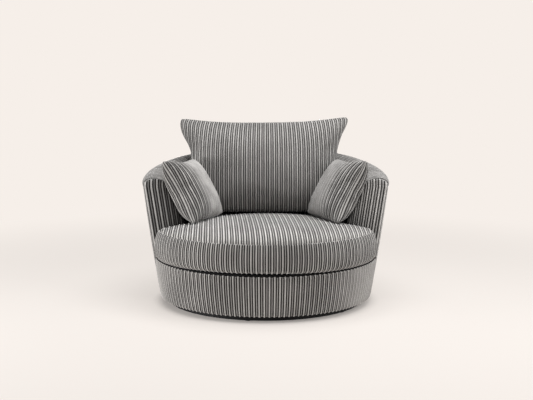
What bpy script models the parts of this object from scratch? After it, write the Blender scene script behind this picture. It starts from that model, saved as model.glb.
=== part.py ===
# Upholstered swivel tub chair, built from its real pieces.
# Metres, +Z up, the front towards -Y, the origin on the floor on the swivel axis.
import math

import bmesh
import bpy
import numpy as np
from mathutils import Matrix

# Clearances
SEAT_GAP = 0.0003            # between pieces that touch
BALL_GAP = 0.0005            # between a ball and its races
HOLE_GAP = 0.0003            # round a bolt's shank
WADDING_GAP = 0.002          # between the timber and a cover
CHORD_GAP = 0.0012           # where a flat facet faces a curved one
ROLL_GAP = 0.0008            # between the rim roll and what it lies on
CUSHION_GAP = 0.005          # between the seat cushion and the tub
LEAN_GAP = 0.004             # between a loose cushion and what it leans on
SCATTER_GAP = 0.012          # between a scatter cushion and the back cushion

# Floor board and glides
BOARD_RADIUS = 0.478
BOARD_THICKNESS = 0.0190
GLIDE_COUNT = 6
GLIDE_FIRST_ANGLE = -100.0
GLIDE_RADIUS = 0.018
GLIDE_FOOT_RADIUS = 0.014
GLIDE_HEIGHT = 0.0030
GLIDE_INSET = 0.020

# Turntable
PLATE_SIDE = 0.300
PLATE_THICKNESS = 0.002
PLATE_SPACING = 0.010
PLATE_HOLE_RADIUS = 0.085
PLATE_CORNER_POWER = 8
RACE_RADIUS = 0.1215
RACE_CHANNEL = 0.0052
RACE_WALL = 0.009
RACE_OVERLAP = 0.0035
BALL_RADIUS = 0.0032
BALL_COUNT = 16
CAGE_WIDTH = 0.0028
CAGE_HEIGHT = 0.0020
CAGE_FACETS = 32
GROOVE_POINTS = 4
BOLT_SPACING = 0.260
BOLT_RADIUS = 0.0030
BOLT_HEAD_RADIUS = 0.0058
BOLT_HEAD_HEIGHT = 0.0030
BOARD_BOLT_DEPTH = 0.011
RAIL_BOLT_DEPTH = 0.022
BOLT_HOLE_SPARE = 0.001

# Outside form of the drum and the tub
BASE_RADIUS = 0.521
DRUM_FRONT_RADIUS = 0.541
RIM_HALF_WIDTH = 0.600
RIM_BACK_DEPTH = 0.565
HEM_DROP = 0.004
DRUM_HEIGHT = 0.1767
RIM_FRONT_HEIGHT = 0.610
RIM_BACK_HEIGHT = 0.710
RIM_RISE_POWER = 0.74
ROLL_WIDTH = 0.117
ROLL_RISE = 0.038
ROLL_POWER = 2.3
COVER_THICKNESS = 0.006
HEM_ROUND = 0.004

# Arm fronts
FACING_FRONT_Y = -0.118
FACING_THICKNESS = 0.0147
FACING_ROUND = 0.010
FACING_BOARD_THICKNESS = 0.009
FACING_BOARD_INSET = 0.006

# Inner padding of the tub
PAD_LEVEL = 0.400
PAD_SWELL = 0.058
PAD_SWELL_POWER = 1.3
BACK_PAD_EXTRA = 0.060
PANEL_SEAM_ANGLE = 55.0

# Timber frame
POST_THICKNESS = 0.025
POST_HALF_ANGLE = 2.5
POST_COUNT = 9
POST_TOP_GAP = 0.0006
UPRIGHT_COUNT = 5
TOP_RAIL_THICKNESS = 0.018
BASE_RING_THICKNESS = 0.018
BASE_RING_WIDTH = 0.077
DECK_RING_THICKNESS = 0.018
DECK_RING_WIDTH = 0.062
SWIVEL_RAIL_WIDTH = 0.080
SWIVEL_RAIL_THICKNESS = 0.030
DUST_COVER_THICKNESS = 0.0015
DUST_COVER_HOLE_GAP = 0.002

# Springs and deck
SPRING_COUNT = 5
SPRING_SPACING = 0.120
SPRING_WIRE_RADIUS = 0.0018
SPRING_WIDTH = 0.076
SPRING_PITCH = 0.050
SPRING_BEND_POINTS = 4
CLIP_HEIGHT = 0.0051
CLIP_WIDTH = 0.018
CLIP_LENGTH = 0.014
CLIP_SET_BACK = 0.020
CLIP_HOLE_GAP = 0.0004
DECK_PAD_THICKNESS = 0.0123
DECK_PAD_FRONT_DEPTH = 0.022
DECK_PAD_ROUND = 0.003

# Seat cushion
SEAT_BAND_HEIGHT = 0.1395
SEAT_CROWN = 0.052
SEAT_SIDE_INSET = 0.004
SEAT_FRONT_OVERHANG = 0.009
SEAT_BAND_SWELL = 0.010
SHOULDER_CORNER = 0.065
SEAT_DISH = 0.85
SEAT_EDGE_POWER = 6
SEAT_CENTRE_Y = -0.180

# Back cushion
BACK_HALF_WIDTH = 0.371
BACK_BELLY = 0.010
BACK_EAR = 0.078
BACK_EAR_START = 0.64
BACK_HEIGHT = 0.5185
BACK_TOP_DIP = 0.040
BACK_TOP_POWER = 3
BACK_FRONT_SWELL = 0.105
BACK_REAR_SWELL = 0.150
BACK_LEAN = 20.0
BACK_ASIDE = -0.009             # it sits a little to the left

# Scatter cushions
SCATTER_SIDE = 0.338
SCATTER_DRAW_IN = 0.022
SCATTER_FRONT_SWELL = 0.078
SCATTER_REAR_SWELL = 0.096
SCATTER_LEAN = 29.5
SCATTER_YAW_LEFT = 20.5
SCATTER_YAW_RIGHT = 21.5
CORNER_PULL = 0.065
CORNER_POWER = 10

# Facets
RING_FACETS = 48
WALL_STEP = 5.0

# Heights that follow from the stack
BOARD_Z = GLIDE_HEIGHT + SEAT_GAP
BOARD_TOP = BOARD_Z + BOARD_THICKNESS
LOWER_PLATE_Z = BOARD_TOP + SEAT_GAP
LOWER_PLATE_TOP = LOWER_PLATE_Z + PLATE_THICKNESS
BALL_Z = LOWER_PLATE_TOP + PLATE_SPACING / 2
UPPER_PLATE_Z = LOWER_PLATE_TOP + PLATE_SPACING
UPPER_PLATE_TOP = UPPER_PLATE_Z + PLATE_THICKNESS
FRAME_Z = UPPER_PLATE_TOP + SEAT_GAP
HEM_Z = FRAME_Z - HEM_DROP
BASE_RING_TOP = FRAME_Z + BASE_RING_THICKNESS
DRUM_TOP = FRAME_Z + DRUM_HEIGHT
DECK_RING_TOP = DRUM_TOP - CLIP_HEIGHT
DECK_PAD_Z = DRUM_TOP + SEAT_GAP
DECK_TOP = DECK_PAD_Z + DECK_PAD_THICKNESS
SEAT_Z = DECK_TOP + SEAT_GAP
SEAM_Z = SEAT_Z + SEAT_BAND_HEIGHT
ARM_SHOULDER_Z = RIM_FRONT_HEIGHT - ROLL_RISE
BACK_SHOULDER_Z = RIM_BACK_HEIGHT - ROLL_RISE

# Depths inside the outer surface, and the planes of the arm fronts
POST_DEPTH = COVER_THICKNESS + WADDING_GAP
PAD_DEPTH = POST_DEPTH + POST_THICKNESS + CHORD_GAP + SEAT_GAP
FACING_BACK_Y = FACING_FRONT_Y + FACING_THICKNESS
BOARD_FRONT_Y = FACING_BACK_Y + SEAT_GAP
BOARD_BACK_Y = BOARD_FRONT_Y + FACING_BOARD_THICKNESS
COVER_END_Y = BOARD_BACK_Y + SEAT_GAP
END_ANGLE = 10.0

# Colour, roughness and metallic value of each finish
FINISHES = {
    "grey_cord": ((0.165, 0.153, 0.144), 0.92, 0.0),
    "light_cord": ((0.330, 0.310, 0.295), 0.92, 0.0),
    "black_paint": ((0.012, 0.012, 0.012), 0.55, 0.0),
    "black_plastic": ((0.015, 0.015, 0.015), 0.45, 0.0),
    "zinc_steel": ((0.520, 0.520, 0.530), 0.35, 1.0),
    "timber": ((0.560, 0.400, 0.240), 0.70, 0.0),
    "deck_cloth": ((0.030, 0.030, 0.031), 0.95, 0.0),
}


def clear_scene():
    for item in list(bpy.data.objects):
        bpy.data.objects.remove(item, do_unlink=True)


def finish_material(finish):
    material = bpy.data.materials.get(finish)
    if material is None:
        colour, roughness, metallic = FINISHES[finish]
        material = bpy.data.materials.new(finish)
        material.use_nodes = True
        shader = material.node_tree.nodes["Principled BSDF"]
        shader.inputs["Base Color"].default_value = (*colour, 1.0)
        shader.inputs["Roughness"].default_value = roughness
        shader.inputs["Metallic"].default_value = metallic
    return material


def place(name, bm, finish, origin=(0.0, 0.0, 0.0), smooth=True, turn_out=True):
    # Makes the object, with its origin moved to the given point and its shape left where it is.
    if turn_out:
        bmesh.ops.recalc_face_normals(bm, faces=bm.faces)
    mesh = bpy.data.meshes.new(name)
    bm.to_mesh(mesh)
    bm.free()
    mesh.transform(Matrix.Translation([-value for value in origin]))
    mesh.materials.append(finish_material(finish))
    if smooth:
        mesh.shade_smooth()
        mesh.set_sharp_from_angle(angle=math.radians(35))
    item = bpy.data.objects.new(name, mesh)
    item.location = origin
    bpy.context.scene.collection.objects.link(item)
    return item


def attach(children, parent):
    # Parents objects to another and leaves them where they are.
    bpy.context.view_layer.update()
    for child in children:
        child.parent = parent
        child.matrix_parent_inverse = parent.matrix_world.inverted()


def turning_body(name, builders):
    # Builds pieces and hangs them on an empty that stands on the swivel axis.
    earlier = set(bpy.data.objects.keys())
    for build in builders:
        build()
    pieces = [item for item in bpy.data.objects if item.name not in earlier]
    pivot = bpy.data.objects.new(name, None)
    pivot.location = (0.0, 0.0, BALL_Z)
    bpy.context.scene.collection.objects.link(pivot)
    attach(pieces, pivot)


def loft(name, loops, finish, ring=False, origin=(0.0, 0.0, 0.0), smooth=True):
    # Joins successive closed loops with quads. A ring joins the last loop to the first,
    # and anything else is capped at both ends.
    bm = bmesh.new()
    rows = [[bm.verts.new(point) for point in loop] for loop in loops]
    count = len(rows[0])
    following = rows[1:] + rows[:1] if ring else rows[1:]
    for row, other in zip(rows, following):
        for i in range(count):
            j = (i + 1) % count
            bm.faces.new((row[i], row[j], other[j], other[i]))
    if not ring:
        bm.faces.new(rows[0][::-1])
        bm.faces.new(rows[-1])
    return place(name, bm, finish, origin, smooth)


def turned(name, profile, finish, facets, centre=(0.0, 0.0)):
    # Spins a profile of (radius, height) points once round a vertical axis.
    bm = bmesh.new()
    cx, cy = centre
    points = [bm.verts.new((cx + radius, cy, height)) for radius, height in profile]
    edges = [bm.edges.new(pair) for pair in zip(points, points[1:])]
    if profile[0][0] > 0:
        edges.append(bm.edges.new((points[-1], points[0])))
    bmesh.ops.spin(bm, geom=points + edges, cent=(cx, cy, 0), axis=(0, 0, 1),
                   angle=math.tau, steps=facets, use_merge=True)
    bmesh.ops.remove_doubles(bm, verts=bm.verts, dist=1e-6)
    return place(name, bm, finish, (cx, cy, 0.0))


def boolean(target, tool, operation):
    modifier = target.modifiers.new(operation.lower(), "BOOLEAN")
    modifier.operation = operation
    modifier.solver = "EXACT"
    modifier.object = tool
    tool.hide_render = True
    tool.display_type = "WIRE"


def drill(target, name, centres, radius, low, high):
    # Cuts upright round holes at the given (x, y) centres.
    bm = bmesh.new()
    for x, y in centres:
        bmesh.ops.create_cone(bm, cap_ends=True, segments=12, radius1=radius, radius2=radius,
                              depth=high - low, matrix=Matrix.Translation((x, y, (low + high) / 2)))
    boolean(target, place(name, bm, "black_paint"), "DIFFERENCE")


def corner_centres():
    half = BOLT_SPACING / 2
    return [(half, half), (-half, half), (-half, -half), (half, -half)]


def half_width(z):
    # Outer half width of the drum and the tub, which leans out evenly to the arm's shoulder.
    return BASE_RADIUS + (RIM_HALF_WIDTH - BASE_RADIUS) * (z - HEM_Z) / (ARM_SHOULDER_Z - HEM_Z)


def back_depth(z):
    return BASE_RADIUS + (RIM_BACK_DEPTH - BASE_RADIUS) * (z - HEM_Z) / (BACK_SHOULDER_Z - HEM_Z)


def front_depth(z):
    return BASE_RADIUS + (DRUM_FRONT_RADIUS - BASE_RADIUS) * (z - HEM_Z) / (DRUM_TOP - HEM_Z)


def drum_point(angle, z, depth):
    # Point on the plan of the drum: half an ellipse to the back and half to the front,
    # set in by depth. The angle is in degrees from +X.
    turn = np.radians(angle)
    reach = np.where(np.sin(turn) < 0, front_depth(z), back_depth(z)) - depth
    x = (half_width(z) - depth) * np.cos(turn)
    y = reach * np.sin(turn)
    return np.stack(np.broadcast_arrays(x, y, np.asarray(z, float)), axis=-1)


def wall_point(angle, z, depth):
    # Point in the tub wall. 0 to 180 degrees run round the back. The last stretch at each end
    # runs forward along the arm to the plane where the covers stop.
    angle = np.asarray(angle, float)
    z = np.asarray(z, float)
    past = np.clip(-angle, 0, None) + np.clip(angle - 180, 0, None)
    turn = np.radians(np.clip(angle, 0, 180))
    forward = COVER_END_Y * past / END_ANGLE
    across = np.sqrt(np.clip(1 - (forward / front_depth(z)) ** 2, 0, None))
    x = (half_width(z) - depth) * np.cos(turn) * across
    y = (back_depth(z) - depth) * np.sin(turn) + forward
    return np.stack(np.broadcast_arrays(x, y, z), axis=-1)


def arm_x(y, z, depth):
    # Half width of the tub wall in the plane y, in front of the swivel axis.
    return (half_width(z) - depth) * np.sqrt(1 - (y / front_depth(z)) ** 2)


def rim_height(angle):
    # Crown of the rim: level at the arm fronts and rising in a smooth wave to the back.
    from_front = np.minimum(np.asarray(angle, float), 180 - np.asarray(angle, float)) + END_ANGLE
    part = np.clip(from_front / (90 + END_ANGLE), 0, 1) ** RIM_RISE_POWER
    return RIM_FRONT_HEIGHT + (RIM_BACK_HEIGHT - RIM_FRONT_HEIGHT) * (1 - np.cos(math.pi * part)) / 2


def shoulder(angle):
    return rim_height(angle) - ROLL_RISE


def pad_depth(angle, z):
    # Depth of the padding's inner face: upright up to the seat level, then leaning out to the roll.
    # The back is thicker than the arms.
    backness = np.sin(np.radians(np.clip(angle, 0, 180))) ** 2
    level = np.maximum(z, PAD_LEVEL)
    part = np.clip((level - PAD_LEVEL) / (shoulder(angle) - PAD_LEVEL), 0, 1)
    swell = (1 - part) ** PAD_SWELL_POWER
    upright = (half_width(level) - half_width(z)) * (1 - backness)
    upright = upright + (back_depth(level) - back_depth(z)) * backness
    return ROLL_WIDTH + PAD_SWELL * swell + BACK_PAD_EXTRA * backness * swell ** 0.6 - upright


def stations(first, last):
    # Angles from first to last with a step at each multiple of WALL_STEP between them.
    inner = np.arange(math.floor(first / WALL_STEP) + 1, math.ceil(last / WALL_STEP)) * WALL_STEP
    return np.concatenate([[first], inner, [last]])


def wall_sweep(name, profile, first, last, finish):
    # Carries a profile of (depth, height) points, which may change with the angle, along the tub.
    loops = []
    for angle in stations(first, last):
        depth, height = profile(angle)
        loops.append(wall_point(angle, np.asarray(height, float), np.asarray(depth, float)))
    return loft(name, loops, finish)


def drum_ring(name, low, high, outer_depth, inner_depth, finish):
    # Flat ring that follows the drum's plan.
    loops = []
    for angle in np.arange(RING_FACETS) * 360 / RING_FACETS:
        loops.append([drum_point(angle, low, outer_depth), drum_point(angle, high, outer_depth),
                      drum_point(angle, high, inner_depth), drum_point(angle, low, inner_depth)])
    return loft(name, loops, finish, ring=True, smooth=False)


def disc(name, low, high, radius, edge, finish):
    profile = [(0, low), (radius - edge, low), (radius, low + edge),
               (radius, high - edge), (radius - edge, high), (0, high)]
    return turned(name, profile, finish, RING_FACETS)


def glides():
    for i in range(GLIDE_COUNT):
        turn = math.radians(GLIDE_FIRST_ANGLE + 360 * i / GLIDE_COUNT)
        reach = BOARD_RADIUS - GLIDE_INSET
        profile = [(0, 0), (GLIDE_FOOT_RADIUS, 0), (GLIDE_RADIUS, GLIDE_HEIGHT * 0.5),
                   (GLIDE_RADIUS, GLIDE_HEIGHT), (0, GLIDE_HEIGHT)]
        turned(f"glide_{i + 1}", profile, "black_plastic", 16,
               (reach * math.cos(turn), reach * math.sin(turn)))


def floor_board():
    board = disc("floor_board", BOARD_Z, BOARD_TOP, BOARD_RADIUS, 0.002, "black_paint")
    drill(board, "floor_board_holes", corner_centres(), BOLT_RADIUS + HOLE_GAP,
          BOARD_TOP - BOARD_BOLT_DEPTH - BOLT_HOLE_SPARE, BOARD_TOP + BOARD_THICKNESS)


def square_loop(height, gap=0.0):
    # Rounded square outline of a turntable plate, as a superellipse, or of an opening round it.
    turn = np.arange(RING_FACETS) * math.tau / RING_FACETS
    power = PLATE_CORNER_POWER
    spread = (np.abs(np.cos(turn)) ** power + np.abs(np.sin(turn)) ** power) ** (-1 / power)
    radius = (PLATE_SIDE / 2 + gap) * spread
    return np.stack([radius * np.cos(turn), radius * np.sin(turn), np.full_like(turn, height)], axis=-1)


def round_loop(radius, height):
    turn = np.arange(RING_FACETS) * math.tau / RING_FACETS
    return np.stack([radius * np.cos(turn), radius * np.sin(turn), np.full_like(turn, height)], axis=-1)


def groove(side):
    # Arc of the race's groove round the ball's centre. Side -1 is the inner race, +1 the outer one.
    reach = BALL_RADIUS + BALL_GAP
    limit = math.acos(RACE_CHANNEL / 2 / reach)
    angles = np.linspace(-limit, limit, GROOVE_POINTS)
    return [(RACE_RADIUS + side * reach * math.cos(a), BALL_Z + reach * math.sin(a)) for a in angles]


def plate(name, low, high, race):
    # Square plate with a pressed race: its outline, over the top, along the race's
    # profile, down the centre hole and back.
    loops = [square_loop(low), square_loop(high)]
    loops += [round_loop(radius, height) for radius, height in race]
    loops += [round_loop(PLATE_HOLE_RADIUS, high), round_loop(PLATE_HOLE_RADIUS, low)]
    item = loft(name, loops, "zinc_steel", ring=True)
    span = abs(high - low)
    drill(item, name + "_holes", corner_centres(), BOLT_RADIUS + HOLE_GAP,
          min(low, high) - span, max(low, high) + span)


def lower_plate():
    face = RACE_RADIUS - RACE_CHANNEL / 2
    crest = BALL_Z + RACE_OVERLAP
    race = [(face, LOWER_PLATE_TOP)] + groove(-1)
    race += [(face, crest), (face - RACE_WALL, crest), (face - RACE_WALL, LOWER_PLATE_TOP)]
    plate("lower_bearing_plate", LOWER_PLATE_Z, LOWER_PLATE_TOP, race)


def upper_plate():
    face = RACE_RADIUS + RACE_CHANNEL / 2
    crest = BALL_Z - RACE_OVERLAP
    race = [(face + RACE_WALL, UPPER_PLATE_Z), (face + RACE_WALL, crest), (face, crest)]
    race += groove(1) + [(face, UPPER_PLATE_Z)]
    plate("upper_bearing_plate", UPPER_PLATE_TOP, UPPER_PLATE_Z, race)


def ball_ring():
    # Flat cage with the balls held in it, halfway between the two races.
    cage = []
    for offset, height in ((-1, -1), (1, -1), (1, 1), (-1, 1)):
        cage.append((RACE_RADIUS + offset * CAGE_WIDTH / 2, BALL_Z + height * CAGE_HEIGHT / 2))
    ring = turned("ball_ring", cage, "zinc_steel", CAGE_FACETS)
    bm = bmesh.new()
    for i in range(BALL_COUNT):
        turn = math.tau * (i + 0.5) / BALL_COUNT
        centre = (RACE_RADIUS * math.cos(turn), RACE_RADIUS * math.sin(turn), BALL_Z)
        bmesh.ops.create_uvsphere(bm, u_segments=8, v_segments=5, radius=BALL_RADIUS,
                                  matrix=Matrix.Translation(centre))
    boolean(ring, place("ball_ring_balls", bm, "zinc_steel"), "UNION")


def bolts(name, seat_z, direction, grip):
    # Button-head bolts. The head stands off the plate and the shank runs the other way.
    head = seat_z + direction * SEAT_GAP
    top = head + direction * BOLT_HEAD_HEIGHT
    tip = head - direction * (PLATE_THICKNESS + grip)
    for i, centre in enumerate(corner_centres()):
        profile = [(0, tip), (BOLT_RADIUS, tip), (BOLT_RADIUS, head), (BOLT_HEAD_RADIUS, head),
                   (BOLT_HEAD_RADIUS * 0.8, top - direction * BOLT_HEAD_HEIGHT * 0.25), (0, top)]
        turned(f"{name}_{i + 1}", profile, "zinc_steel", 10, centre)


def lower_bolts():
    bolts("lower_bolt", LOWER_PLATE_TOP, 1, BOARD_BOLT_DEPTH)


def upper_bolts():
    bolts("upper_bolt", UPPER_PLATE_Z, -1, RAIL_BOLT_DEPTH)


def base_ring():
    drum_ring("base_ring", FRAME_Z, BASE_RING_TOP, POST_DEPTH, POST_DEPTH + BASE_RING_WIDTH, "timber")


def swivel_rails():
    # Two boards across the frame. Their ends follow the inside of the base ring.
    inner = POST_DEPTH + BASE_RING_WIDTH + CHORD_GAP
    for name, side in (("swivel_rail_right", 1), ("swivel_rail_left", -1)):
        across = side * (BOLT_SPACING / 2 + SWIVEL_RAIL_WIDTH * np.linspace(-0.5, 0.5, 5))
        reach = half_width(FRAME_Z) - inner
        bow = np.sqrt(1 - (across / reach) ** 2)
        front = np.stack([across, -(front_depth(FRAME_Z) - inner) * bow], axis=-1)
        back = np.stack([across, (back_depth(FRAME_Z) - inner) * bow], axis=-1)
        outline = np.concatenate([front, back[::-1]])
        loops = []
        for z in (FRAME_Z, FRAME_Z + SWIVEL_RAIL_THICKNESS):
            loops.append(np.column_stack([outline, np.full(len(outline), z)]))
        rail = loft(name, loops, "timber", smooth=False)
        holes = [(x, y) for x, y in corner_centres() if x * side > 0]
        drill(rail, name + "_holes", holes, BOLT_RADIUS + HOLE_GAP,
              FRAME_Z - SWIVEL_RAIL_THICKNESS, FRAME_Z + RAIL_BOLT_DEPTH + BOLT_HOLE_SPARE)


def post(name, angle, low, high, point):
    # Leaning block between two angles, just inside the cover.
    loops = []
    for z in (low, high):
        corners = ((-1, POST_DEPTH), (1, POST_DEPTH),
                   (1, POST_DEPTH + POST_THICKNESS), (-1, POST_DEPTH + POST_THICKNESS))
        loops.append([point(angle + side * POST_HALF_ANGLE, z, depth) for side, depth in corners])
    loft(name, loops, "timber", smooth=False)


def posts():
    first = POST_HALF_ANGLE - END_ANGLE + 0.3
    for i in range(POST_COUNT):
        angle = first + (180 - 2 * first) * i / (POST_COUNT - 1)
        edge = min(shoulder(angle - POST_HALF_ANGLE), shoulder(angle + POST_HALF_ANGLE))
        high = float(edge) - ROLL_GAP - TOP_RAIL_THICKNESS - POST_TOP_GAP
        post(f"tub_post_{i + 1}", angle, BASE_RING_TOP + SEAT_GAP, high, wall_point)
    for i in range(UPRIGHT_COUNT):
        angle = -180 * (i + 1) / (UPRIGHT_COUNT + 1)
        post(f"front_upright_{i + 1}", angle, BASE_RING_TOP + SEAT_GAP, DRUM_TOP, drum_point)


def top_rail():
    def profile(angle):
        top = shoulder(angle) - ROLL_GAP
        low = top - TOP_RAIL_THICKNESS
        near = POST_DEPTH
        far = POST_DEPTH + POST_THICKNESS
        return [near, near, far, far], [low, top, top, low]
    wall_sweep("top_rail", profile, -END_ANGLE, 180 + END_ANGLE, "timber")


def spring_places():
    # For each spring its x, and the y of the clips at its front and back ends.
    places = []
    inner = POST_DEPTH + POST_THICKNESS + SEAT_GAP + CHORD_GAP + DECK_RING_WIDTH
    for i in range(SPRING_COUNT):
        x = (i - (SPRING_COUNT - 1) / 2) * SPRING_SPACING
        bow = math.sqrt(1 - (x / (half_width(DECK_RING_TOP) - inner)) ** 2)
        front = -(front_depth(DECK_RING_TOP) - inner) * bow - CLIP_SET_BACK
        back = (back_depth(DECK_RING_TOP) - inner) * bow + CLIP_SET_BACK
        places.append((x, front, back))
    return places


SPRING_Z = DECK_RING_TOP + CLIP_HOLE_GAP + SPRING_WIRE_RADIUS


def deck_ring():
    # Ring that carries the springs, with a drilled clip for each end of each spring.
    outer = POST_DEPTH + POST_THICKNESS + SEAT_GAP + CHORD_GAP
    ring = drum_ring("deck_ring", DECK_RING_TOP - DECK_RING_THICKNESS, DECK_RING_TOP,
                     outer, outer + DECK_RING_WIDTH, "timber")
    blocks = bmesh.new()
    holes = bmesh.new()
    low = DECK_RING_TOP - CLIP_HEIGHT
    for x, front, back in spring_places():
        for y in (front, back):
            size = Matrix.Diagonal((CLIP_WIDTH, CLIP_LENGTH, DRUM_TOP - low, 1))
            move = Matrix.Translation((x, y, (DRUM_TOP + low) / 2))
            bmesh.ops.create_cube(blocks, size=1, matrix=move @ size)
            turn = Matrix.Translation((x, y, SPRING_Z)) @ Matrix.Rotation(math.pi / 2, 4, "Y")
            bmesh.ops.create_cone(holes, cap_ends=True, segments=8, depth=CLIP_WIDTH * 2, matrix=turn,
                                  radius1=SPRING_WIRE_RADIUS + CLIP_HOLE_GAP,
                                  radius2=SPRING_WIRE_RADIUS + CLIP_HOLE_GAP)
    boolean(ring, place("deck_ring_clips", blocks, "zinc_steel", smooth=False), "UNION")
    boolean(ring, place("deck_ring_clip_holes", holes, "zinc_steel"), "DIFFERENCE")


def zigzag_path(x, front, back):
    # Straight bars joined by half circles, from the front clip to the back one.
    bars = max(3, round((back - front) / SPRING_PITCH) + 1)
    pitch = (back - front) / (bars - 1)
    bend = pitch / 2
    straight = SPRING_WIDTH / 2 - bend
    points = [(x - SPRING_WIDTH / 2, front)]
    for i in range(bars - 1):
        side = 1 if i % 2 == 0 else -1
        y = front + pitch * i
        for angle in np.linspace(-math.pi / 2, math.pi / 2, SPRING_BEND_POINTS):
            points.append((x + side * (straight + bend * math.cos(angle)), y + bend + bend * math.sin(angle)))
    points.append((x - (1 if (bars - 1) % 2 else -1) * SPRING_WIDTH / 2, back))
    return points


def springs():
    for i, (x, front, back) in enumerate(spring_places()):
        curve = bpy.data.curves.new(f"zigzag_spring_{i + 1}", "CURVE")
        curve.dimensions = "3D"
        curve.bevel_depth = SPRING_WIRE_RADIUS
        curve.bevel_resolution = 0
        curve.use_fill_caps = True
        path = zigzag_path(x, front, back)
        spline = curve.splines.new("POLY")
        spline.points.add(len(path) - 1)
        for point, (px, py) in zip(spline.points, path):
            point.co = (px, py, SPRING_Z, 1)
        curve.materials.append(finish_material("zinc_steel"))
        item = bpy.data.objects.new(curve.name, curve)
        bpy.context.scene.collection.objects.link(item)


def deck_outline(z, inset):
    # The front follows the drum. From the arm fronts back it runs inside the posts.
    edge = DECK_PAD_FRONT_DEPTH + inset
    reach = float(front_depth(z)) - edge
    end = math.degrees(math.asin((COVER_END_Y - WADDING_GAP) / reach))
    front = drum_point(np.linspace(-180 - end, end, 34), z, edge)
    inside = wall_point(stations(-END_ANGLE, 180 + END_ANGLE), z, PAD_DEPTH + inset)
    return np.concatenate([front, inside])


def deck_pad():
    loops = [deck_outline(DECK_PAD_Z, DECK_PAD_ROUND), deck_outline(DECK_PAD_Z + DECK_PAD_ROUND, 0.0),
             deck_outline(DECK_TOP - DECK_PAD_ROUND, 0.0), deck_outline(DECK_TOP, DECK_PAD_ROUND)]
    loft("deck_pad", loops, "deck_cloth", smooth=False)


def dust_cover():
    # Lining cloth under the frame, cut out round the upper bearing plate.
    low = FRAME_Z - SEAT_GAP - DUST_COVER_THICKNESS
    high = FRAME_Z - SEAT_GAP
    low_hole = square_loop(low, DUST_COVER_HOLE_GAP)
    high_hole = square_loop(high, DUST_COVER_HOLE_GAP)
    loops = []
    for i in range(RING_FACETS):
        angle = 360 * i / RING_FACETS
        loops.append([drum_point(angle, low, POST_DEPTH), drum_point(angle, high, POST_DEPTH),
                      high_hole[i], low_hole[i]])
    loft("dust_cover", loops, "deck_cloth", ring=True, smooth=False)


def drum_band():
    # Ribbed cover round the front of the drum. Its ends lie in the plane of the arm fronts.
    hem = HEM_ROUND
    profile = [(0, HEM_Z + hem), (0, DRUM_TOP - hem), (hem * 0.3, DRUM_TOP - hem * 0.3), (hem, DRUM_TOP),
               (COVER_THICKNESS, DRUM_TOP), (COVER_THICKNESS, HEM_Z), (hem, HEM_Z),
               (hem * 0.3, HEM_Z + hem * 0.3)]
    depth, height = np.array(profile).T
    end = np.arcsin((COVER_END_Y - SEAT_GAP) / (front_depth(height) - depth))
    end = np.degrees(end)
    count = round(160 / WALL_STEP)
    loops = []
    for i in range(count + 1):
        part = i / count
        loops.append(drum_point(end + (-180 - 2 * end) * part, height, depth))
    loft("drum_band", loops, "grey_cord")


def outer_covers():
    def profile(angle):
        top = shoulder(angle) - ROLL_GAP
        return [0, 0, COVER_THICKNESS, COVER_THICKNESS], [HEM_Z, top, top, HEM_Z]
    seam = PANEL_SEAM_ANGLE
    gap = math.degrees(SEAT_GAP / BASE_RADIUS)
    wall_sweep("outer_arm_cover_right", profile, -END_ANGLE, seam - gap, "grey_cord")
    wall_sweep("outer_back_cover", profile, seam, 180 - seam, "grey_cord")
    wall_sweep("outer_arm_cover_left", profile, 180 - seam + gap, 180 + END_ANGLE, "grey_cord")


def inner_pads():
    def profile(angle):
        top = float(shoulder(angle)) - ROLL_GAP
        levels = np.concatenate([[SEAT_Z], np.linspace(PAD_LEVEL, top, 5)])
        depth = pad_depth(angle, levels)
        back = [PAD_DEPTH, PAD_DEPTH]
        return np.concatenate([back, depth[::-1]]), np.concatenate([[SEAT_Z, top], levels[::-1]])
    seam = PANEL_SEAM_ANGLE
    gap = math.degrees(SEAT_GAP / (BASE_RADIUS - ROLL_WIDTH - PAD_SWELL - BACK_PAD_EXTRA))
    wall_sweep("inner_arm_pad_right", profile, -END_ANGLE, seam - gap, "grey_cord")
    wall_sweep("inner_back_pad", profile, seam, 180 - seam, "grey_cord")
    wall_sweep("inner_arm_pad_left", profile, 180 - seam + gap, 180 + END_ANGLE, "grey_cord")


def roll_arc(count):
    # Half a superellipse over the top of the wall, from the outer shoulder to the inner one.
    turn = np.linspace(0, math.pi, count)
    across = np.sign(np.cos(turn)) * np.abs(np.cos(turn)) ** (2 / ROLL_POWER)
    rise = np.sin(turn) ** (2 / ROLL_POWER)
    return ROLL_WIDTH * (1 - across) / 2, ROLL_RISE * rise


def rim_roll():
    depth, rise = roll_arc(9)
    wall_sweep("rim_roll", lambda angle: (depth, shoulder(angle) + rise),
               -END_ANGLE, 180 + END_ANGLE, "light_cord")


def facing_outline(y, side):
    # Arm front in the plane y: up the outer edge, over the roll and down the padded inner edge.
    top = float(shoulder(-END_ANGLE))
    depth, rise = roll_arc(11)
    inner = np.concatenate([np.linspace(top, PAD_LEVEL, 5)[1:], [SEAT_Z]])
    heights = np.concatenate([[SEAT_Z], top + rise, inner])
    depths = np.concatenate([[0.0], depth, pad_depth(-END_ANGLE, inner)])
    return side * arm_x(y, heights, depths), heights


def inset_outline(x, z, amount):
    # Moves each point of a closed outline inwards, square to the chord of its neighbours.
    points = np.stack([x, z], axis=-1)
    chord = np.roll(points, -1, axis=0) - np.roll(points, 1, axis=0)
    chord /= np.linalg.norm(chord, axis=1)[:, None]
    normal = np.stack([-chord[:, 1], chord[:, 0]], axis=-1)
    nxt = np.roll(points, -1, axis=0)
    area = np.sum(points[:, 0] * nxt[:, 1] - nxt[:, 0] * points[:, 1])
    return points + normal * amount * (1 if area > 0 else -1)


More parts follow.
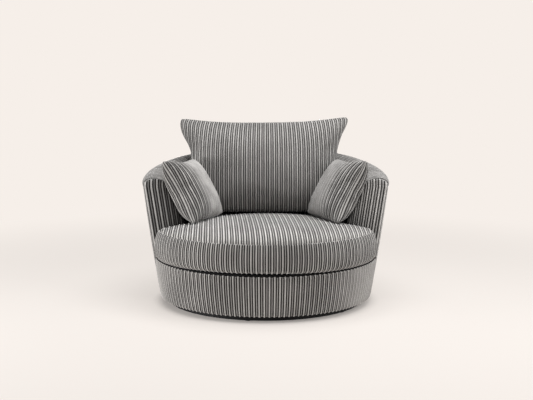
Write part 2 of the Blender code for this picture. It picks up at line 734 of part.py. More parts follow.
def facing_piece(name, side, levels, finish, smooth):
    loops = []
    for y, inset in levels:
        x, z = facing_outline(y, side)
        flat = inset_outline(x, z, inset)
        loops.append(np.stack([flat[:, 0], np.full(len(flat), y), flat[:, 1]], axis=-1))
    loft(name, loops, finish, smooth=smooth)


def facings():
    soft = FACING_ROUND
    edge = SEAT_GAP
    padded = [(FACING_BACK_Y, edge + 0.002), (FACING_BACK_Y - 0.003, edge),
              (FACING_FRONT_Y + soft * 0.6, edge), (FACING_FRONT_Y + soft * 0.2, edge + soft * 0.3),
              (FACING_FRONT_Y, edge + soft)]
    board = [(BOARD_BACK_Y, edge + FACING_BOARD_INSET), (BOARD_FRONT_Y, edge + FACING_BOARD_INSET)]
    for name, side in (("right", 1), ("left", -1)):
        facing_piece("arm_facing_" + name, side, padded, "grey_cord", True)
        facing_piece("facing_board_" + name, side, board, "timber", False)


def tub_inside(angle):
    # Innermost line of the padding over the height of the seat cushion.
    levels = np.linspace(SEAT_Z, SEAM_Z + SEAT_CROWN, 6)[:, None]
    depth = pad_depth(angle[None, :], levels) + CUSHION_GAP
    points = wall_point(angle[None, :], levels, depth)
    nearest = np.argmin(np.hypot(points[..., 0], points[..., 1]), axis=0)
    return points[nearest, np.arange(len(angle)), :2]


def seat_outline():
    # T-shaped plan, right half and its mirror: round the front, a rounded shoulder in front of the
    # arm, and back along the inside of the tub.
    reach_x = half_width(DRUM_TOP) - SEAT_SIDE_INSET
    reach_y = front_depth(DRUM_TOP) + SEAT_FRONT_OVERHANG
    shoulder_y = FACING_FRONT_Y - CUSHION_GAP
    corner = SHOULDER_CORNER
    start = math.asin((shoulder_y - corner) / reach_y)
    turn = np.linspace(-math.pi / 2, start, 13)
    front = np.stack([reach_x * np.cos(turn), reach_y * np.sin(turn)], axis=-1)
    end_x = front[-1, 0]
    bend = np.linspace(0, math.pi / 2, 4)[1:]
    shoulder_arc = np.stack([end_x - corner + corner * np.cos(bend),
                             shoulder_y - corner + corner * np.sin(bend)], axis=-1)
    inside = tub_inside(np.arange(-5.0, 90.1, 7.5))
    side_x = arm_x(shoulder_y, PAD_LEVEL, pad_depth(-END_ANGLE, PAD_LEVEL) + CUSHION_GAP)
    inner = np.array([[float(side_x), shoulder_y]])
    right = np.concatenate([front, shoulder_arc, inner, inside])
    left = right[1:-1][::-1] * np.array([-1.0, 1.0])
    last = np.array([[0.0, inside[-1, 1]]])
    return np.concatenate([right[:-1], last, left])


def seat_rim(x, y):
    # Share of the way from the cushion's centre to its outline, 1 on the outline.
    outline = seat_outline() - np.array([0.0, SEAT_CENTRE_Y])
    angle = np.arctan2(outline[:, 1], outline[:, 0])
    order = np.argsort(angle)
    radius = np.hypot(outline[:, 0], outline[:, 1])
    away = y - SEAT_CENTRE_Y
    edge = np.interp(np.arctan2(away, x), angle[order], radius[order], period=math.tau)
    return np.hypot(x, away) / edge


def seat_crown(x, y, part):
    # Domed top: it rises steeply inside the seam and then levels off towards the middle.
    reach_x = half_width(SEAM_Z)
    reach_y = front_depth(SEAM_Z)
    dome = 1 - SEAT_DISH * ((x / reach_x) ** 2 + ((y - SEAT_CENTRE_Y) / reach_y) ** 2)
    edge = np.clip(1 - part ** SEAT_EDGE_POWER, 0, None) ** 0.55
    return SEAM_Z + SEAT_CROWN * edge * dome


def seat_top(x, y):
    # Height of the seat's top. Past the outline it falls away.
    part = seat_rim(x, y)
    return np.where(part < 1, seat_crown(x, y, part), SEAT_Z)


def seat_cushion():
    outline = seat_outline()
    centre = np.array([0.0, SEAT_CENTRE_Y])
    spoke = outline - centre
    length = np.linalg.norm(spoke, axis=1)[:, None]
    frontness = np.clip(-(outline[:, 1:] - FACING_FRONT_Y) / 0.1, 0, 1)
    band = SEAT_BAND_HEIGHT
    loops = []

    def add(shift, z):
        flat = outline + spoke / length * shift
        loops.append(np.column_stack([flat, np.full(len(flat), z)]))

    add(-0.024, SEAT_Z)
    add(-0.008, SEAT_Z + 0.002)
    add(-0.001, SEAT_Z + 0.010)
    for part in (0.3, 0.55, 0.8):
        add(SEAT_BAND_SWELL * math.sin(math.pi * part) * frontness, SEAT_Z + band * part)
    add(0.0, SEAM_Z)
    for part in (0.97, 0.91, 0.82, 0.66, 0.42, 0.14):
        flat = centre + spoke * part
        loops.append(np.column_stack([flat, seat_crown(flat[:, 0], flat[:, 1], part)]))
    origin = (0.0, SEAT_CENTRE_Y, SEAT_Z)
    return loft("seat_cushion", loops, "grey_cord", origin=origin)


def pillow_fade(u, v):
    # Share of a cushion's full swell: 1 in the middle and nothing at its edges.
    across = 1 - np.clip(np.abs(u), 0, 1) ** 2.6
    up = 1 - np.clip(np.abs(2 * v - 1), 0, 1) ** 2.6
    return (across * up) ** 0.62


def pillow(columns, rows, half_across, height, front_swell, rear_swell):
    # Front and back grids of a knife-edged cushion in its own plane: across, outwards, up.
    # half_across(v) and height(u) give its outline. The grid is finer towards the edges.
    u, v = np.meshgrid(np.linspace(-1, 1, columns), np.linspace(-1, 1, rows))
    u = np.sin(u * math.pi / 2) * 0.35 + u * 0.65
    v = (1 + np.sin(v * math.pi / 2) * 0.35 + v * 0.65) / 2
    fade = pillow_fade(u, v)
    pull = 1 - CORNER_PULL * np.abs(u * (2 * v - 1)) ** CORNER_POWER
    across = u * half_across(v) * pull
    up = height(u) * (0.5 + (v - 0.5) * pull)
    front = np.stack([across, front_swell * fade, up], axis=-1)
    rear = np.stack([across, -rear_swell * fade, up], axis=-1)
    return front, rear


def cushion_axes(yaw, lean):
    # Across, outward and up directions of a cushion that leans back by lean and whose face is
    # turned by yaw from the chair's front.
    turn = math.radians(yaw)
    tilt = math.radians(lean)
    face = np.array([math.sin(turn), -math.cos(turn), 0.0])
    upright = np.array([0.0, 0.0, 1.0])
    across = np.array([math.cos(turn), math.sin(turn), 0.0])
    outward = face * math.cos(tilt) + upright * math.sin(tilt)
    up = upright * math.cos(tilt) - face * math.sin(tilt)
    return np.array([across, outward, up])


def pillow_object(name, front, rear, finish, origin):
    bm = bmesh.new()
    rows, columns = front.shape[:2]
    near = [[bm.verts.new(front[r, c]) for c in range(columns)] for r in range(rows)]
    far = []
    for r in range(rows):
        inner = 0 < r < rows - 1
        far.append([bm.verts.new(rear[r, c]) if inner and 0 < c < columns - 1 else near[r][c]
                    for c in range(columns)])
    for r in range(rows - 1):
        for c in range(columns - 1):
            bm.faces.new((near[r][c], near[r][c + 1], near[r + 1][c + 1], near[r + 1][c]))
            bm.faces.new((far[r][c], far[r + 1][c], far[r + 1][c + 1], far[r][c + 1]))
    return place(name, bm, finish, origin, turn_out=False)


def wall_room(points):
    # Room between each point and the padding's inner face, along its own spoke from the axis.
    # There is plenty above the rim and in front of the arms.
    x = np.abs(points[..., 0])
    y = np.clip(points[..., 1], 0, None)
    z = points[..., 2]
    angle = np.degrees(np.arctan2(y, x + 1e-9))
    level = np.minimum(z, shoulder(angle))
    depth = pad_depth(angle, level)
    scale = np.hypot(x / (half_width(z) - depth), y / (back_depth(z) - depth))
    room = np.hypot(x, y) * (1 / np.maximum(scale, 1e-6) - 1)
    free = (z > rim_height(angle)) | (points[..., 1] < FACING_FRONT_Y - LEAN_GAP)
    return np.where(free, 1.0, room)


def seat_rise(points):
    # How far a cushion has to rise, or drop, to rest on the seat.
    return float(np.max(seat_top(points[..., 0], points[..., 1]) - points[..., 2])) + SEAT_GAP


def farthest(clear, high, steps=22):
    # The largest slide from 0 to high at which the cushion is still clear.
    low = 0.0
    for _ in range(steps):
        middle = (low + high) / 2
        if clear(middle):
            low = middle
        else:
            high = middle
    return low


def on_seat(points, move):
    # The same points at the given place in plan, set down on the seat.
    moved = points + np.array([move[0], move[1], 0.0])
    return moved + np.array([0.0, 0.0, seat_rise(moved)])


def back_half_across(v):
    belly = BACK_BELLY * np.sin(math.pi * np.clip(v / 0.8, 0, 1))
    ear = BACK_EAR * np.clip((v - BACK_EAR_START) / (1 - BACK_EAR_START), 0, 1) ** 1.15
    corner = BACK_BELLY * np.clip(1 - v / 0.08, 0, 1) ** 2
    return BACK_HALF_WIDTH + belly + ear - corner


def back_height(u):
    return BACK_HEIGHT - BACK_TOP_DIP * (1 - np.abs(u) ** BACK_TOP_POWER)


def back_cushion_place():
    # The cushion stands on the seat and is pushed back until it meets the tub's padding.
    front, rear = pillow(21, 17, back_half_across, back_height, BACK_FRONT_SWELL, BACK_REAR_SWELL)
    both = np.stack([front, rear]) @ cushion_axes(0, BACK_LEAN)
    start = -0.1
    slide = farthest(lambda y: wall_room(on_seat(both, (BACK_ASIDE, start + y))).min() > LEAN_GAP, 0.6)
    return on_seat(both, (BACK_ASIDE, start + slide))


def back_room(points, back_origin):
    # Room between each point and the face of the back cushion, also as that cushion is drawn up.
    local = (points - back_origin) @ cushion_axes(0, BACK_LEAN).T
    wide = BACK_HALF_WIDTH + BACK_BELLY
    v = np.clip(local[..., 2] / BACK_HEIGHT, 0, 0.5)
    face = BACK_FRONT_SWELL * pillow_fade(local[..., 0] / wide, v)
    beside = (np.abs(local[..., 0]) > wide + SCATTER_GAP) | (local[..., 2] > BACK_HEIGHT)
    return np.where(beside, 1.0, local[..., 1] - face)


def scatter_half_across(v):
    return SCATTER_SIDE / 2 - SCATTER_DRAW_IN * np.sin(math.pi * v)


def scatter_height(u):
    return SCATTER_SIDE - SCATTER_DRAW_IN * np.cos(math.pi * u / 2)


def scatter_place(side, yaw, back_origin):
    # The cushion stands on the seat, is pushed out to the arm, and back to the back cushion.
    front, rear = pillow(14, 14, scatter_half_across, scatter_height,
                         SCATTER_FRONT_SWELL, SCATTER_REAR_SWELL)
    both = np.stack([front, rear]) @ cushion_axes(-side * (90 - yaw), SCATTER_LEAN)
    start = FACING_FRONT_Y - SCATTER_SIDE

    def outward(y):
        slide = farthest(lambda x: wall_room(on_seat(both, (side * x, y))).min() > LEAN_GAP, 0.5)
        return on_seat(both, (side * slide, y))

    def clear(y):
        return back_room(outward(start + y), back_origin).min() > SCATTER_GAP

    return outward(start + farthest(clear, 0.8, 12))


def cushions():
    seat = seat_cushion()
    back = back_cushion_place()
    back_origin = back[0, 0, back.shape[2] // 2]
    loose = [pillow_object("back_cushion", back[0], back[1], "grey_cord", back_origin)]
    for name, side, yaw in (("left", -1, SCATTER_YAW_LEFT), ("right", 1, SCATTER_YAW_RIGHT)):
        front, rear = scatter_place(side, yaw, back_origin)
        origin = front[0, front.shape[1] // 2]
        loose.append(pillow_object("scatter_cushion_" + name, front, rear, "light_cord", origin))
    attach(loose, seat)


if __name__ == "__main__":
    clear_scene()
    glides()
    floor_board()
    lower_plate()
    lower_bolts()
    ball_ring()
    turning_body("chair_pivot", [upper_plate, upper_bolts, base_ring, swivel_rails, posts, top_rail,
                                 deck_ring, springs, deck_pad, dust_cover, drum_band, outer_covers,
                                 inner_pads, rim_roll, facings, cushions])
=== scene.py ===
import math

import bpy
import numpy as np
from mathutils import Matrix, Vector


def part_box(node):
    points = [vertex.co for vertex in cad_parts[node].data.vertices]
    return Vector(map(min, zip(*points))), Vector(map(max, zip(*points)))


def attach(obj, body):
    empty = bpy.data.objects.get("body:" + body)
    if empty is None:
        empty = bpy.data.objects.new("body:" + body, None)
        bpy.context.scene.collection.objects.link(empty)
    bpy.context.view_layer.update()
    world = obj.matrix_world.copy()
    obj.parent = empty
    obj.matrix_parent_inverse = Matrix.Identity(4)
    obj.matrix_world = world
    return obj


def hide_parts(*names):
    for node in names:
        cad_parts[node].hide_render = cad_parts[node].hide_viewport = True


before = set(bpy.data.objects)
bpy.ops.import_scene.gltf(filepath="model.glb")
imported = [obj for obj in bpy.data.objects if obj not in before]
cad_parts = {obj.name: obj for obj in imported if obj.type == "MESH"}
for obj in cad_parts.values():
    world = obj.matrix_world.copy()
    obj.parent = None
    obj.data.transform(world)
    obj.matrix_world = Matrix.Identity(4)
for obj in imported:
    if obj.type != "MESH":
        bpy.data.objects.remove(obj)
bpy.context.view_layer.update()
print("frame loaded")


# cord cloth: one wide bright rib and one narrow grey rib in each repeat
cord = {
    "repeat": 0.023,             # metres across one wide and one narrow rib
    "wideMiddle": 0.25,          # shares of the repeat
    "wideHalf": 0.21,
    "narrowMiddle": 0.75,
    "narrowHalf": 0.15,
    "wideHeight": 0.0038,
    "narrowHeight": 0.0027,
    "samples": 900,              # points on a line whose length is measured
    "columns": [0.0, 0.05, 0.10, 0.17, 0.25, 0.33, 0.40, 0.45, 0.53, 0.61, 0.67, 0.75, 0.83, 0.89, 0.95],
}


def ribHeight(run):
    # height of the pile at a distance across the ribs: two half ellipses in each repeat
    share = (run / cord["repeat"] + 1e-6) % 1.0
    wide = np.clip(1 - ((share - cord["wideMiddle"]) / cord["wideHalf"]) ** 2, 0, None)
    narrow = np.clip(1 - ((share - cord["narrowMiddle"]) / cord["narrowHalf"]) ** 2, 0, None)
    return cord["wideHeight"] * np.sqrt(wide) + cord["narrowHeight"] * np.sqrt(narrow)


def ribColumns(length):
    # places along a length that catch each rib's top and foot, and the cloth's own measure there
    repeats = max(1, round(length / cord["repeat"]))
    cloth = (np.arange(repeats)[:, None] + np.array(cord["columns"])[None, :]).ravel()
    cloth = np.append(cloth, repeats)
    return cloth / repeats * length, cloth * cord["repeat"]


# mesh helpers
def held(value):
    # a value held between nought and one
    return np.clip(value, 0, 1)


def together(*parts):
    # arrays of matching shapes, as the coordinates of one array of points
    return np.stack(np.broadcast_arrays(*parts), axis=-1)


def runAlong(line):
    # distance of each point of a line from its start, along the line
    return np.append(0, np.cumsum(np.linalg.norm(np.diff(line, axis=0), axis=1)))


def raised(flat, z):
    # points of a flat grid or line, taken to a height
    return together(flat[..., 0], flat[..., 1], z)


def closedRing(ring):
    return np.concatenate([ring, ring[:1]])


def evenly(ring, count):
    # points at even distances along a flat ring
    run = runAlong(ring)
    place = np.linspace(0, run[-1], count)
    return together(np.interp(place, run, ring[:, 0]), np.interp(place, run, ring[:, 1]))


def ribsAlong(line, *values):
    # the cloth's measure at the rib columns of a line, and there the values that are given along it
    run = runAlong(line)
    place, measure = ribColumns(run[-1])
    return [measure] + [np.interp(place, run, value) for value in values]


def edgeDistance(flat, outline):
    # distance of each point from a closed outline, block by block to spare memory
    step = np.roll(outline, -1, axis=0) - outline
    size = np.maximum(np.sum(step ** 2, axis=1), 1e-12)
    result = []
    for block in np.array_split(flat.reshape(-1, 2), max(1, flat[..., 0].size // 4000)):
        offset = block[:, None, :] - outline[None]
        part = held(np.sum(offset * step[None], axis=-1) / size)
        gap = offset - step[None] * part[..., None]
        result.append(np.sqrt(np.min(np.sum(gap ** 2, axis=-1), axis=1)))
    return np.concatenate(result).reshape(flat.shape[:-1])


def raiseRibs(points, run, lift, closed=False, outward=None):
    # moves each point along the surface's normal by the rib height there times lift;
    # the normal is the unit cross product of the grid's two directions
    across = np.gradient(points, axis=0)
    if closed:
        along = np.roll(points, -1, axis=1) - np.roll(points, 1, axis=1)
    else:
        along = np.gradient(points, axis=1)
    normal = np.cross(across, along)
    normal = normal / np.maximum(np.linalg.norm(normal, axis=-1, keepdims=True), 1e-12)
    if outward is None:
        outward = points - points.mean(axis=1, keepdims=True)
    if np.sum(normal * outward) < 0:
        normal = -normal
    return points + normal * (ribHeight(run) * lift)[..., None]


def quadsOf(index):
    # the four corners of every cell of a grid of vertex numbers
    return np.stack([index[:-1, :-1], index[1:, :-1], index[1:, 1:], index[:-1, 1:]], axis=-1).reshape(-1, 4)


def shell(points, uv, faces, slot):
    # a closed surface; the sum of its faces' cones gives its volume, which says if they face outwards
    volume = 0.0
    for face in faces:
        corners = points[face]
        fan = np.cross(corners[:, 1:-1] - corners[:, :1], corners[:, 2:] - corners[:, :1])
        volume += np.sum(corners[:, :1] * fan) / 6
    if volume < 0:
        faces = [face[:, ::-1] for face in faces]
    return {"points": points, "uv": uv, "faces": faces, "slot": slot}


def sweepShell(points, uv, slot=0, closedPath=False, closedProfile=True):
    # profiles (second axis) carried along a path (first axis), with a cap at each open end of either
    rows, count = points.shape[:2]
    index = np.arange(rows * count).reshape(rows, count)
    caps = []
    if not closedPath:
        caps += [index[:1, ::-1], index[-1:]]
    if not closedProfile:
        caps += [index[:, :1].T, index[:, -1:].T[:, ::-1]]
    if closedPath:
        index = closedRing(index)
    if closedProfile:
        index = closedRing(index.T).T
    return shell(points.reshape(-1, 3), uv.reshape(-1, 2), [quadsOf(index), *caps], slot)


def pillowShell(front, rear, frontUv, slot=0):
    # two grids that share their outline
    rows, count = front.shape[:2]
    near = np.arange(rows * count).reshape(rows, count)
    far = near.copy()
    far[1:-1, 1:-1] = rows * count + np.arange((rows - 2) * (count - 2)).reshape(rows - 2, count - 2)
    points = np.concatenate([front.reshape(-1, 3), rear[1:-1, 1:-1].reshape(-1, 3)])
    uv = np.concatenate([frontUv.reshape(-1, 2), frontUv[1:-1, 1:-1].reshape(-1, 2)])
    return shell(points, uv, [quadsOf(near), quadsOf(far)[:, ::-1]], slot)


def addObject(name, data):
    made = bpy.data.objects.new(name, data)
    bpy.context.scene.collection.objects.link(made)
    return made


def makePiece(name, shells, materials, sharp=40):
    # puts the shells of one piece into one mesh, with the cloth's measure in the UV map "cord"
    points = np.concatenate([part["points"] for part in shells])
    uv = np.concatenate([part["uv"] for part in shells])
    faces = []
    slots = []
    shift = 0
    for part in shells:
        for block in part["faces"]:
            faces += (block + shift).tolist()
            slots += [part["slot"]] * len(block)
        shift += len(part["points"])
    mesh = bpy.data.meshes.new(name)
    mesh.from_pydata(points.tolist(), [], faces)
    corner = np.zeros(len(mesh.loops), np.int32)
    mesh.loops.foreach_get("vertex_index", corner)
    layer = mesh.uv_layers.new(name="cord")
    layer.data.foreach_set("uv", uv[corner].astype(np.float32).ravel())
    mesh.polygons.foreach_set("material_index", np.array(slots, np.int32))
    for material in materials:
        mesh.materials.append(material)
    mesh.shade_smooth()
    mesh.set_sharp_from_angle(angle=math.radians(sharp))
    mesh.update()
    return addObject(name, mesh)


def ribbedTube(name, points, measure, along, lift, material):
    # a closed profile carried along a path, with ribs where lift isn't nought
    points = raiseRibs(points, measure[:, None], lift, closed=True)
    return makePiece(name, [sweepShell(points, together(measure[:, None], along))], [cloth[material]])


def finishPiece(piece, body, node=None):
    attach(piece, body)
    if node:
        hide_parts(node)
    print("made", piece.name, len(piece.data.polygons))


# node helpers for the materials
def startMaterial(name, colour, roughness, metallic=0.0, specular=None):
    material = bpy.data.materials.new(name)
    material.use_nodes = True
    material.diffuse_color = (*colour, 1.0)
    shader = material.node_tree.nodes["Principled BSDF"]
    shader.inputs["Base Color"].default_value = (*colour, 1.0)
    shader.inputs["Roughness"].default_value = roughness
    shader.inputs["Metallic"].default_value = metallic
    if specular is not None:
        shader.inputs["Specular IOR Level"].default_value = specular
    return material, material.node_tree, shader


def addNode(tree, kind, inputs=None, **values):
    # a new node with its settings; each input is either connected or given a value
    node = tree.nodes.new("ShaderNode" + kind)
    for key, value in values.items():
        setattr(node, key, value)
    for key, value in (inputs or {}).items():
        if isinstance(value, bpy.types.NodeSocket):
            tree.links.new(value, node.inputs[key])
        elif value is not None:
            node.inputs[key].default_value = (*value, 1.0) if node.inputs[key].type == "RGBA" else value
    return node


def objectPlace(tree):
    return addNode(tree, "TexCoord").outputs["Object"]


def mathNode(tree, operation, first, second=None):
    return addNode(tree, "Math", {0: first, 1: second}, operation=operation).outputs[0]


def rangeNode(tree, value, fromMin, fromMax, toMin, toMax, interpolation="SMOOTHSTEP"):
    inputs = {"Value": value, "From Min": fromMin, "From Max": fromMax, "To Min": toMin, "To Max": toMax}
    return addNode(tree, "MapRange", inputs, interpolation_type=interpolation).outputs["Result"]


def noiseNode(tree, coordinates, scale, detail=2.0, stretch=(1, 1, 1)):
    place = addNode(tree, "Mapping", {"Scale": stretch, "Vector": coordinates}).outputs["Vector"]
    return addNode(tree, "TexNoise", {"Scale": scale, "Detail": detail, "Vector": place}).outputs["Fac"]


def rampNode(tree, factor, stops):
    ramp = addNode(tree, "ValToRGB", {"Fac": factor})
    while len(ramp.color_ramp.elements) < len(stops):
        ramp.color_ramp.elements.new(0.5)
    for element, (position, colour) in zip(ramp.color_ramp.elements, stops):
        element.position = position
        element.color = (*colour, 1.0)
    return ramp.outputs["Color"]


def mixColour(tree, blend, factor, first, second):
    inputs = {0: factor, 6: first, 7: second}
    return addNode(tree, "Mix", inputs, data_type="RGBA", blend_type=blend).outputs[2]


def shadeColour(tree, colour, factor, low, high):
    # a colour times a grey that runs between two stops, each a position and a brightness
    shade = rampNode(tree, factor, [(place, (level,) * 3) for place, level in (low, high)])
    return mixColour(tree, "MULTIPLY", 1.0, colour, shade)


def addBump(tree, shader, height, distance, strength=1.0):
    bump = addNode(tree, "Bump", {"Distance": distance, "Strength": strength, "Height": height})
    tree.links.new(bump.outputs["Normal"], shader.inputs["Normal"])


def between(first, second, share):
    # a colour part of the way from the first to the second
    return tuple((1 - share) * a + share * b for a, b in zip(first, second))


def cordMaterial(name, ribs, mottle=(7.0, 0.80, 1.10), paintedLightFade=None):
    # the rib pattern follows the UV map "cord": bright on the wide rib, grey on the narrow one,
    # darker on their flanks and dark at their feet as painted shade in the grooves, with a soft mottle
    # where the pile is pressed and fine upright fibres
    bright, grey, foot = ribs
    material, tree, shader = startMaterial(name, bright, 0.92, specular=0.15)
    layer = addNode(tree, "UVMap", uv_map="cord").outputs["UV"]
    across = addNode(tree, "SeparateXYZ", {0: layer}).outputs["X"]
    share = mathNode(tree, "FRACT", mathNode(tree, "DIVIDE", across, cord["repeat"]))
    # side and dusk darken the rib flanks, and foot darkens the feet: painted shade in the grooves
    side = between(bright, foot, 0.55)
    dusk = between(grey, foot, 0.45)
    stops = [(0.0, foot), (0.045, foot), (0.12, side), (0.19, bright), (0.31, bright), (0.38, side),
             (0.455, foot), (0.60, foot), (0.66, dusk), (0.71, grey), (0.79, grey), (0.84, dusk),
             (0.90, foot)]
    colour = rampNode(tree, share, stops)
    if paintedLightFade:
        # away from the middle the ribs fade into one flat colour: painted light, as painted sheen on the
        # drum's sides, painted shade on the facings' inner parts and a paler inner part on the scatter
        # cushions
        middle, start, full, most, flat = paintedLightFade
        away = mathNode(tree, "ABSOLUTE", mathNode(tree, "SUBTRACT", across, middle))
        colour = mixColour(tree, "MIX", rangeNode(tree, away, start, full, 0.0, most), colour, flat)
    scale, dull, light = mottle
    pressed = noiseNode(tree, objectPlace(tree), scale, 3.0)
    fibres = noiseNode(tree, layer, 1.0, 2.0, (900, 260, 1))
    colour = shadeColour(tree, colour, pressed, (0.30, dull), (0.70, light))
    colour = shadeColour(tree, colour, fibres, (0.25, 0.84), (0.75, 1.10))
    tree.links.new(colour, shader.inputs["Base Color"])
    shader.inputs["Sheen Weight"].default_value = 0.9
    shader.inputs["Sheen Roughness"].default_value = 0.25
    addBump(tree, shader, fibres, 0.0006, 0.6)
    return material


outerRibs = ((0.46, 0.445, 0.430), (0.320, 0.308, 0.298), (0.014, 0.0135, 0.013))
scatterRibs = ((0.42, 0.407, 0.393), (0.230, 0.222, 0.214), (0.040, 0.0387, 0.0375))
scatterMottle = (16.0, 0.74, 1.16)
cordSets = {
    # ribs: linear colour of the wide rib, of the narrow rib and of the feet between them
    # mottle: scale of the pressed patches, and their darkest and palest share
    # paintedLightFade: painted light where the ribs fade into one colour; middle of the ribbed part,
    # distances from it where the fading starts and is full, how much fades at most, and the colour that it
    # fades into
    "outerCord": {"ribs": outerRibs},
    # the tub's inside is a darker, shaded copy of the outer cloth: painted shade
    "innerShadedCord": {"ribs": ((0.28, 0.271, 0.262), (0.160, 0.154, 0.148), (0.010, 0.0097, 0.0094))},
    # the seat's top is a paler, lit copy of the band's cloth: painted light from above
    "seatTopLitCord": {"ribs": ((0.62, 0.601, 0.581), (0.430, 0.416, 0.402), (0.070, 0.0678, 0.0656))},
    "seatBandCord": {"ribs": ((0.455, 0.441, 0.427), (0.318, 0.308, 0.297), (0.014, 0.0135, 0.013))},
    "backCord": {"ribs": ((0.43, 0.416, 0.402), (0.315, 0.304, 0.294), (0.047, 0.0455, 0.044))},
    # the drum's sides fade into a paler flat grey: painted sheen where the band turns away from the front
    "drumCord": {"ribs": outerRibs, "paintedLightFade": (0.824, 0.38, 0.62, 0.55, (0.47, 0.455, 0.440))},
    # the left facing is a darker, shaded copy of the right one: painted shade on the left arm and painted
    # light on the right; on both the ribs fade into painted shade towards the inner edge, beside the scatter
    # cushions
    "facingCordLeftShaded": {"ribs": ((0.42, 0.407, 0.393), (0.150, 0.145, 0.140), (0.012, 0.0116, 0.011)),
                       "paintedLightFade": (0.0, 0.02, 0.14, 0.9, (0.022, 0.021, 0.020))},
    "facingCordRightLit": {"ribs": ((0.50, 0.485, 0.468), (0.370, 0.358, 0.347), (0.026, 0.0252, 0.024)),
                        "paintedLightFade": (0.0, 0.05, 0.18, 0.8, (0.045, 0.0436, 0.042))},
    "rollCord": {"ribs": ((0.38, 0.367, 0.354), (0.290, 0.280, 0.271), (0.150, 0.1445, 0.140)),
                 "mottle": (20.0, 0.66, 1.16)},
    # the scatter cushions' inner parts fade into a paler flat grey, paler on the left cushion than on the
    # right: painted light
    "scatterCordLeft": {"ribs": scatterRibs, "mottle": scatterMottle,
                        "paintedLightFade": (0.0, 0.08, 0.18, 0.88, (0.42, 0.407, 0.394))},
    "scatterCordRight": {"ribs": scatterRibs, "mottle": scatterMottle,
                         "paintedLightFade": (0.0, 0.08, 0.18, 0.88, (0.275, 0.2665, 0.258))},
}
cloth = {name: cordMaterial(name, **own) for name, own in cordSets.items()}
print("cord materials ready")


# the tub's form, the same as the solids
tub = {
    "hemZ": 0.0329,
    "drumTop": 0.2136,
    "seatZ": 0.2265,
    "seamZ": 0.3660,
    "baseRadius": 0.521,
    "drumFrontRadius": 0.541,
    "rimHalfWidth": 0.600,
    "rimBackDepth": 0.565,
    "rimFrontHeight": 0.610,
    "rimBackHeight": 0.710,
    "rimRisePower": 0.74,
    "rollWidth": 0.117,
    "rollRise": 0.038,
    "rollPower": 2.3,
    "rollInnerPower": 1.7,
    "padLevel": 0.400,
    "padSwell": 0.058,
    "padSwellPower": 1.3,
    "backPadExtra": 0.060,
    "backSwellPower": 0.6,
    "facingFrontY": -0.118,
    "facingBackY": -0.1033,
    "coverEndY": -0.0937,
    "endAngle": 10.0,
    "seamAngle": 55.0,
    "coverThickness": 0.006,
    "padDepth": 0.0345,
}
armShoulderZ = tub["rimFrontHeight"] - tub["rollRise"]
backShoulderZ = tub["rimBackHeight"] - tub["rollRise"]


def leanOut(z, radius, topZ):
    # evenly from the base's radius at the hem to another radius at a height
    return tub["baseRadius"] + (radius - tub["baseRadius"]) * (z - tub["hemZ"]) / (topZ - tub["hemZ"])


def halfWidth(z):
    return leanOut(z, tub["rimHalfWidth"], armShoulderZ)


def backDepth(z):
    return leanOut(z, tub["rimBackDepth"], backShoulderZ)


def frontDepth(z):
    return leanOut(z, tub["drumFrontRadius"], tub["drumTop"])


def drumPoint(angle, z, depth):
    # half an ellipse to the front and half to the back, set in by depth
    turn = np.radians(angle)
    reach = np.where(np.sin(turn) < 0, frontDepth(z), backDepth(z)) - depth
    return together((halfWidth(z) - depth) * np.cos(turn), reach * np.sin(turn), z + 0.0 * angle)


def wallPoint(angle, z, depth):
    # 0 to 180 degrees run round the back, and past them the wall runs forward along the arm
    past = np.clip(-angle, 0, None) + np.clip(angle - 180, 0, None)
    turn = np.radians(np.clip(angle, 0, 180))
    forward = tub["coverEndY"] * past / tub["endAngle"]
    across = np.sqrt(np.clip(1 - (forward / frontDepth(z)) ** 2, 0, None))
    x = (halfWidth(z) - depth) * np.cos(turn) * across
    return together(x, (backDepth(z) - depth) * np.sin(turn) + forward, z + 0.0 * angle)


def armX(y, z, depth):
    return (halfWidth(z) - depth) * np.sqrt(1 - (y / frontDepth(z)) ** 2)


def shoulderZ(angle):
    # foot of the roll: level at the arm fronts, rising in a smooth wave to the back
    share = (np.minimum(angle, 180 - angle) + tub["endAngle"]) / (90 + tub["endAngle"])
    wave = (1 - np.cos(math.pi * held(share) ** tub["rimRisePower"])) / 2
    return armShoulderZ + (tub["rimBackHeight"] - tub["rimFrontHeight"]) * wave


def padDepth(angle, z):
    # upright to the seat's level, then leaning out to the roll, thicker at the back
    backness = np.sin(np.radians(np.clip(angle, 0, 180))) ** 2
    level = np.maximum(z, tub["padLevel"])
    share = held((level - tub["padLevel"]) / (shoulderZ(angle) - tub["padLevel"]))
    swell = (1 - share) ** tub["padSwellPower"]
    atSides = halfWidth(level) - halfWidth(z)
    atBack = backDepth(level) - backDepth(z)
    depth = tub["rollWidth"] + tub["padSwell"] * swell
    depth = depth + tub["backPadExtra"] * backness * swell ** tub["backSwellPower"]
    return depth - (atSides * (1 - backness) + atBack * backness)


def alongWall(first, last, z, depth):
    # the cloth's measure at the rib columns between two angles of the wall, and their angles
    angle = np.linspace(first, last, cord["samples"])
    return ribsAlong(wallPoint(angle, z, depth), angle)


def seamDip(measure, depth=0.0040, width=0.007):
    # how far the cloth is drawn in near the seam at each end of a panel
    edge = np.minimum(measure, measure[-1] - measure)
    return depth * np.exp(-(edge / width) ** 2)[:, None]


def wallPanel(name, angle, measure, z, depth, lift, rearDepth, material):
    # each profile goes on with two points without ribs behind its top and its foot, at an even depth
    rear = z[:, [-1, 0]]
    z = np.concatenate([z, rear], axis=1)
    depth = np.concatenate([depth, np.full_like(rear, rearDepth)], axis=1)
    lift = np.concatenate([lift, 0 * rear], axis=1)
    return ribbedTube(name, wallPoint(angle[:, None], z, depth), measure, z, lift, material)


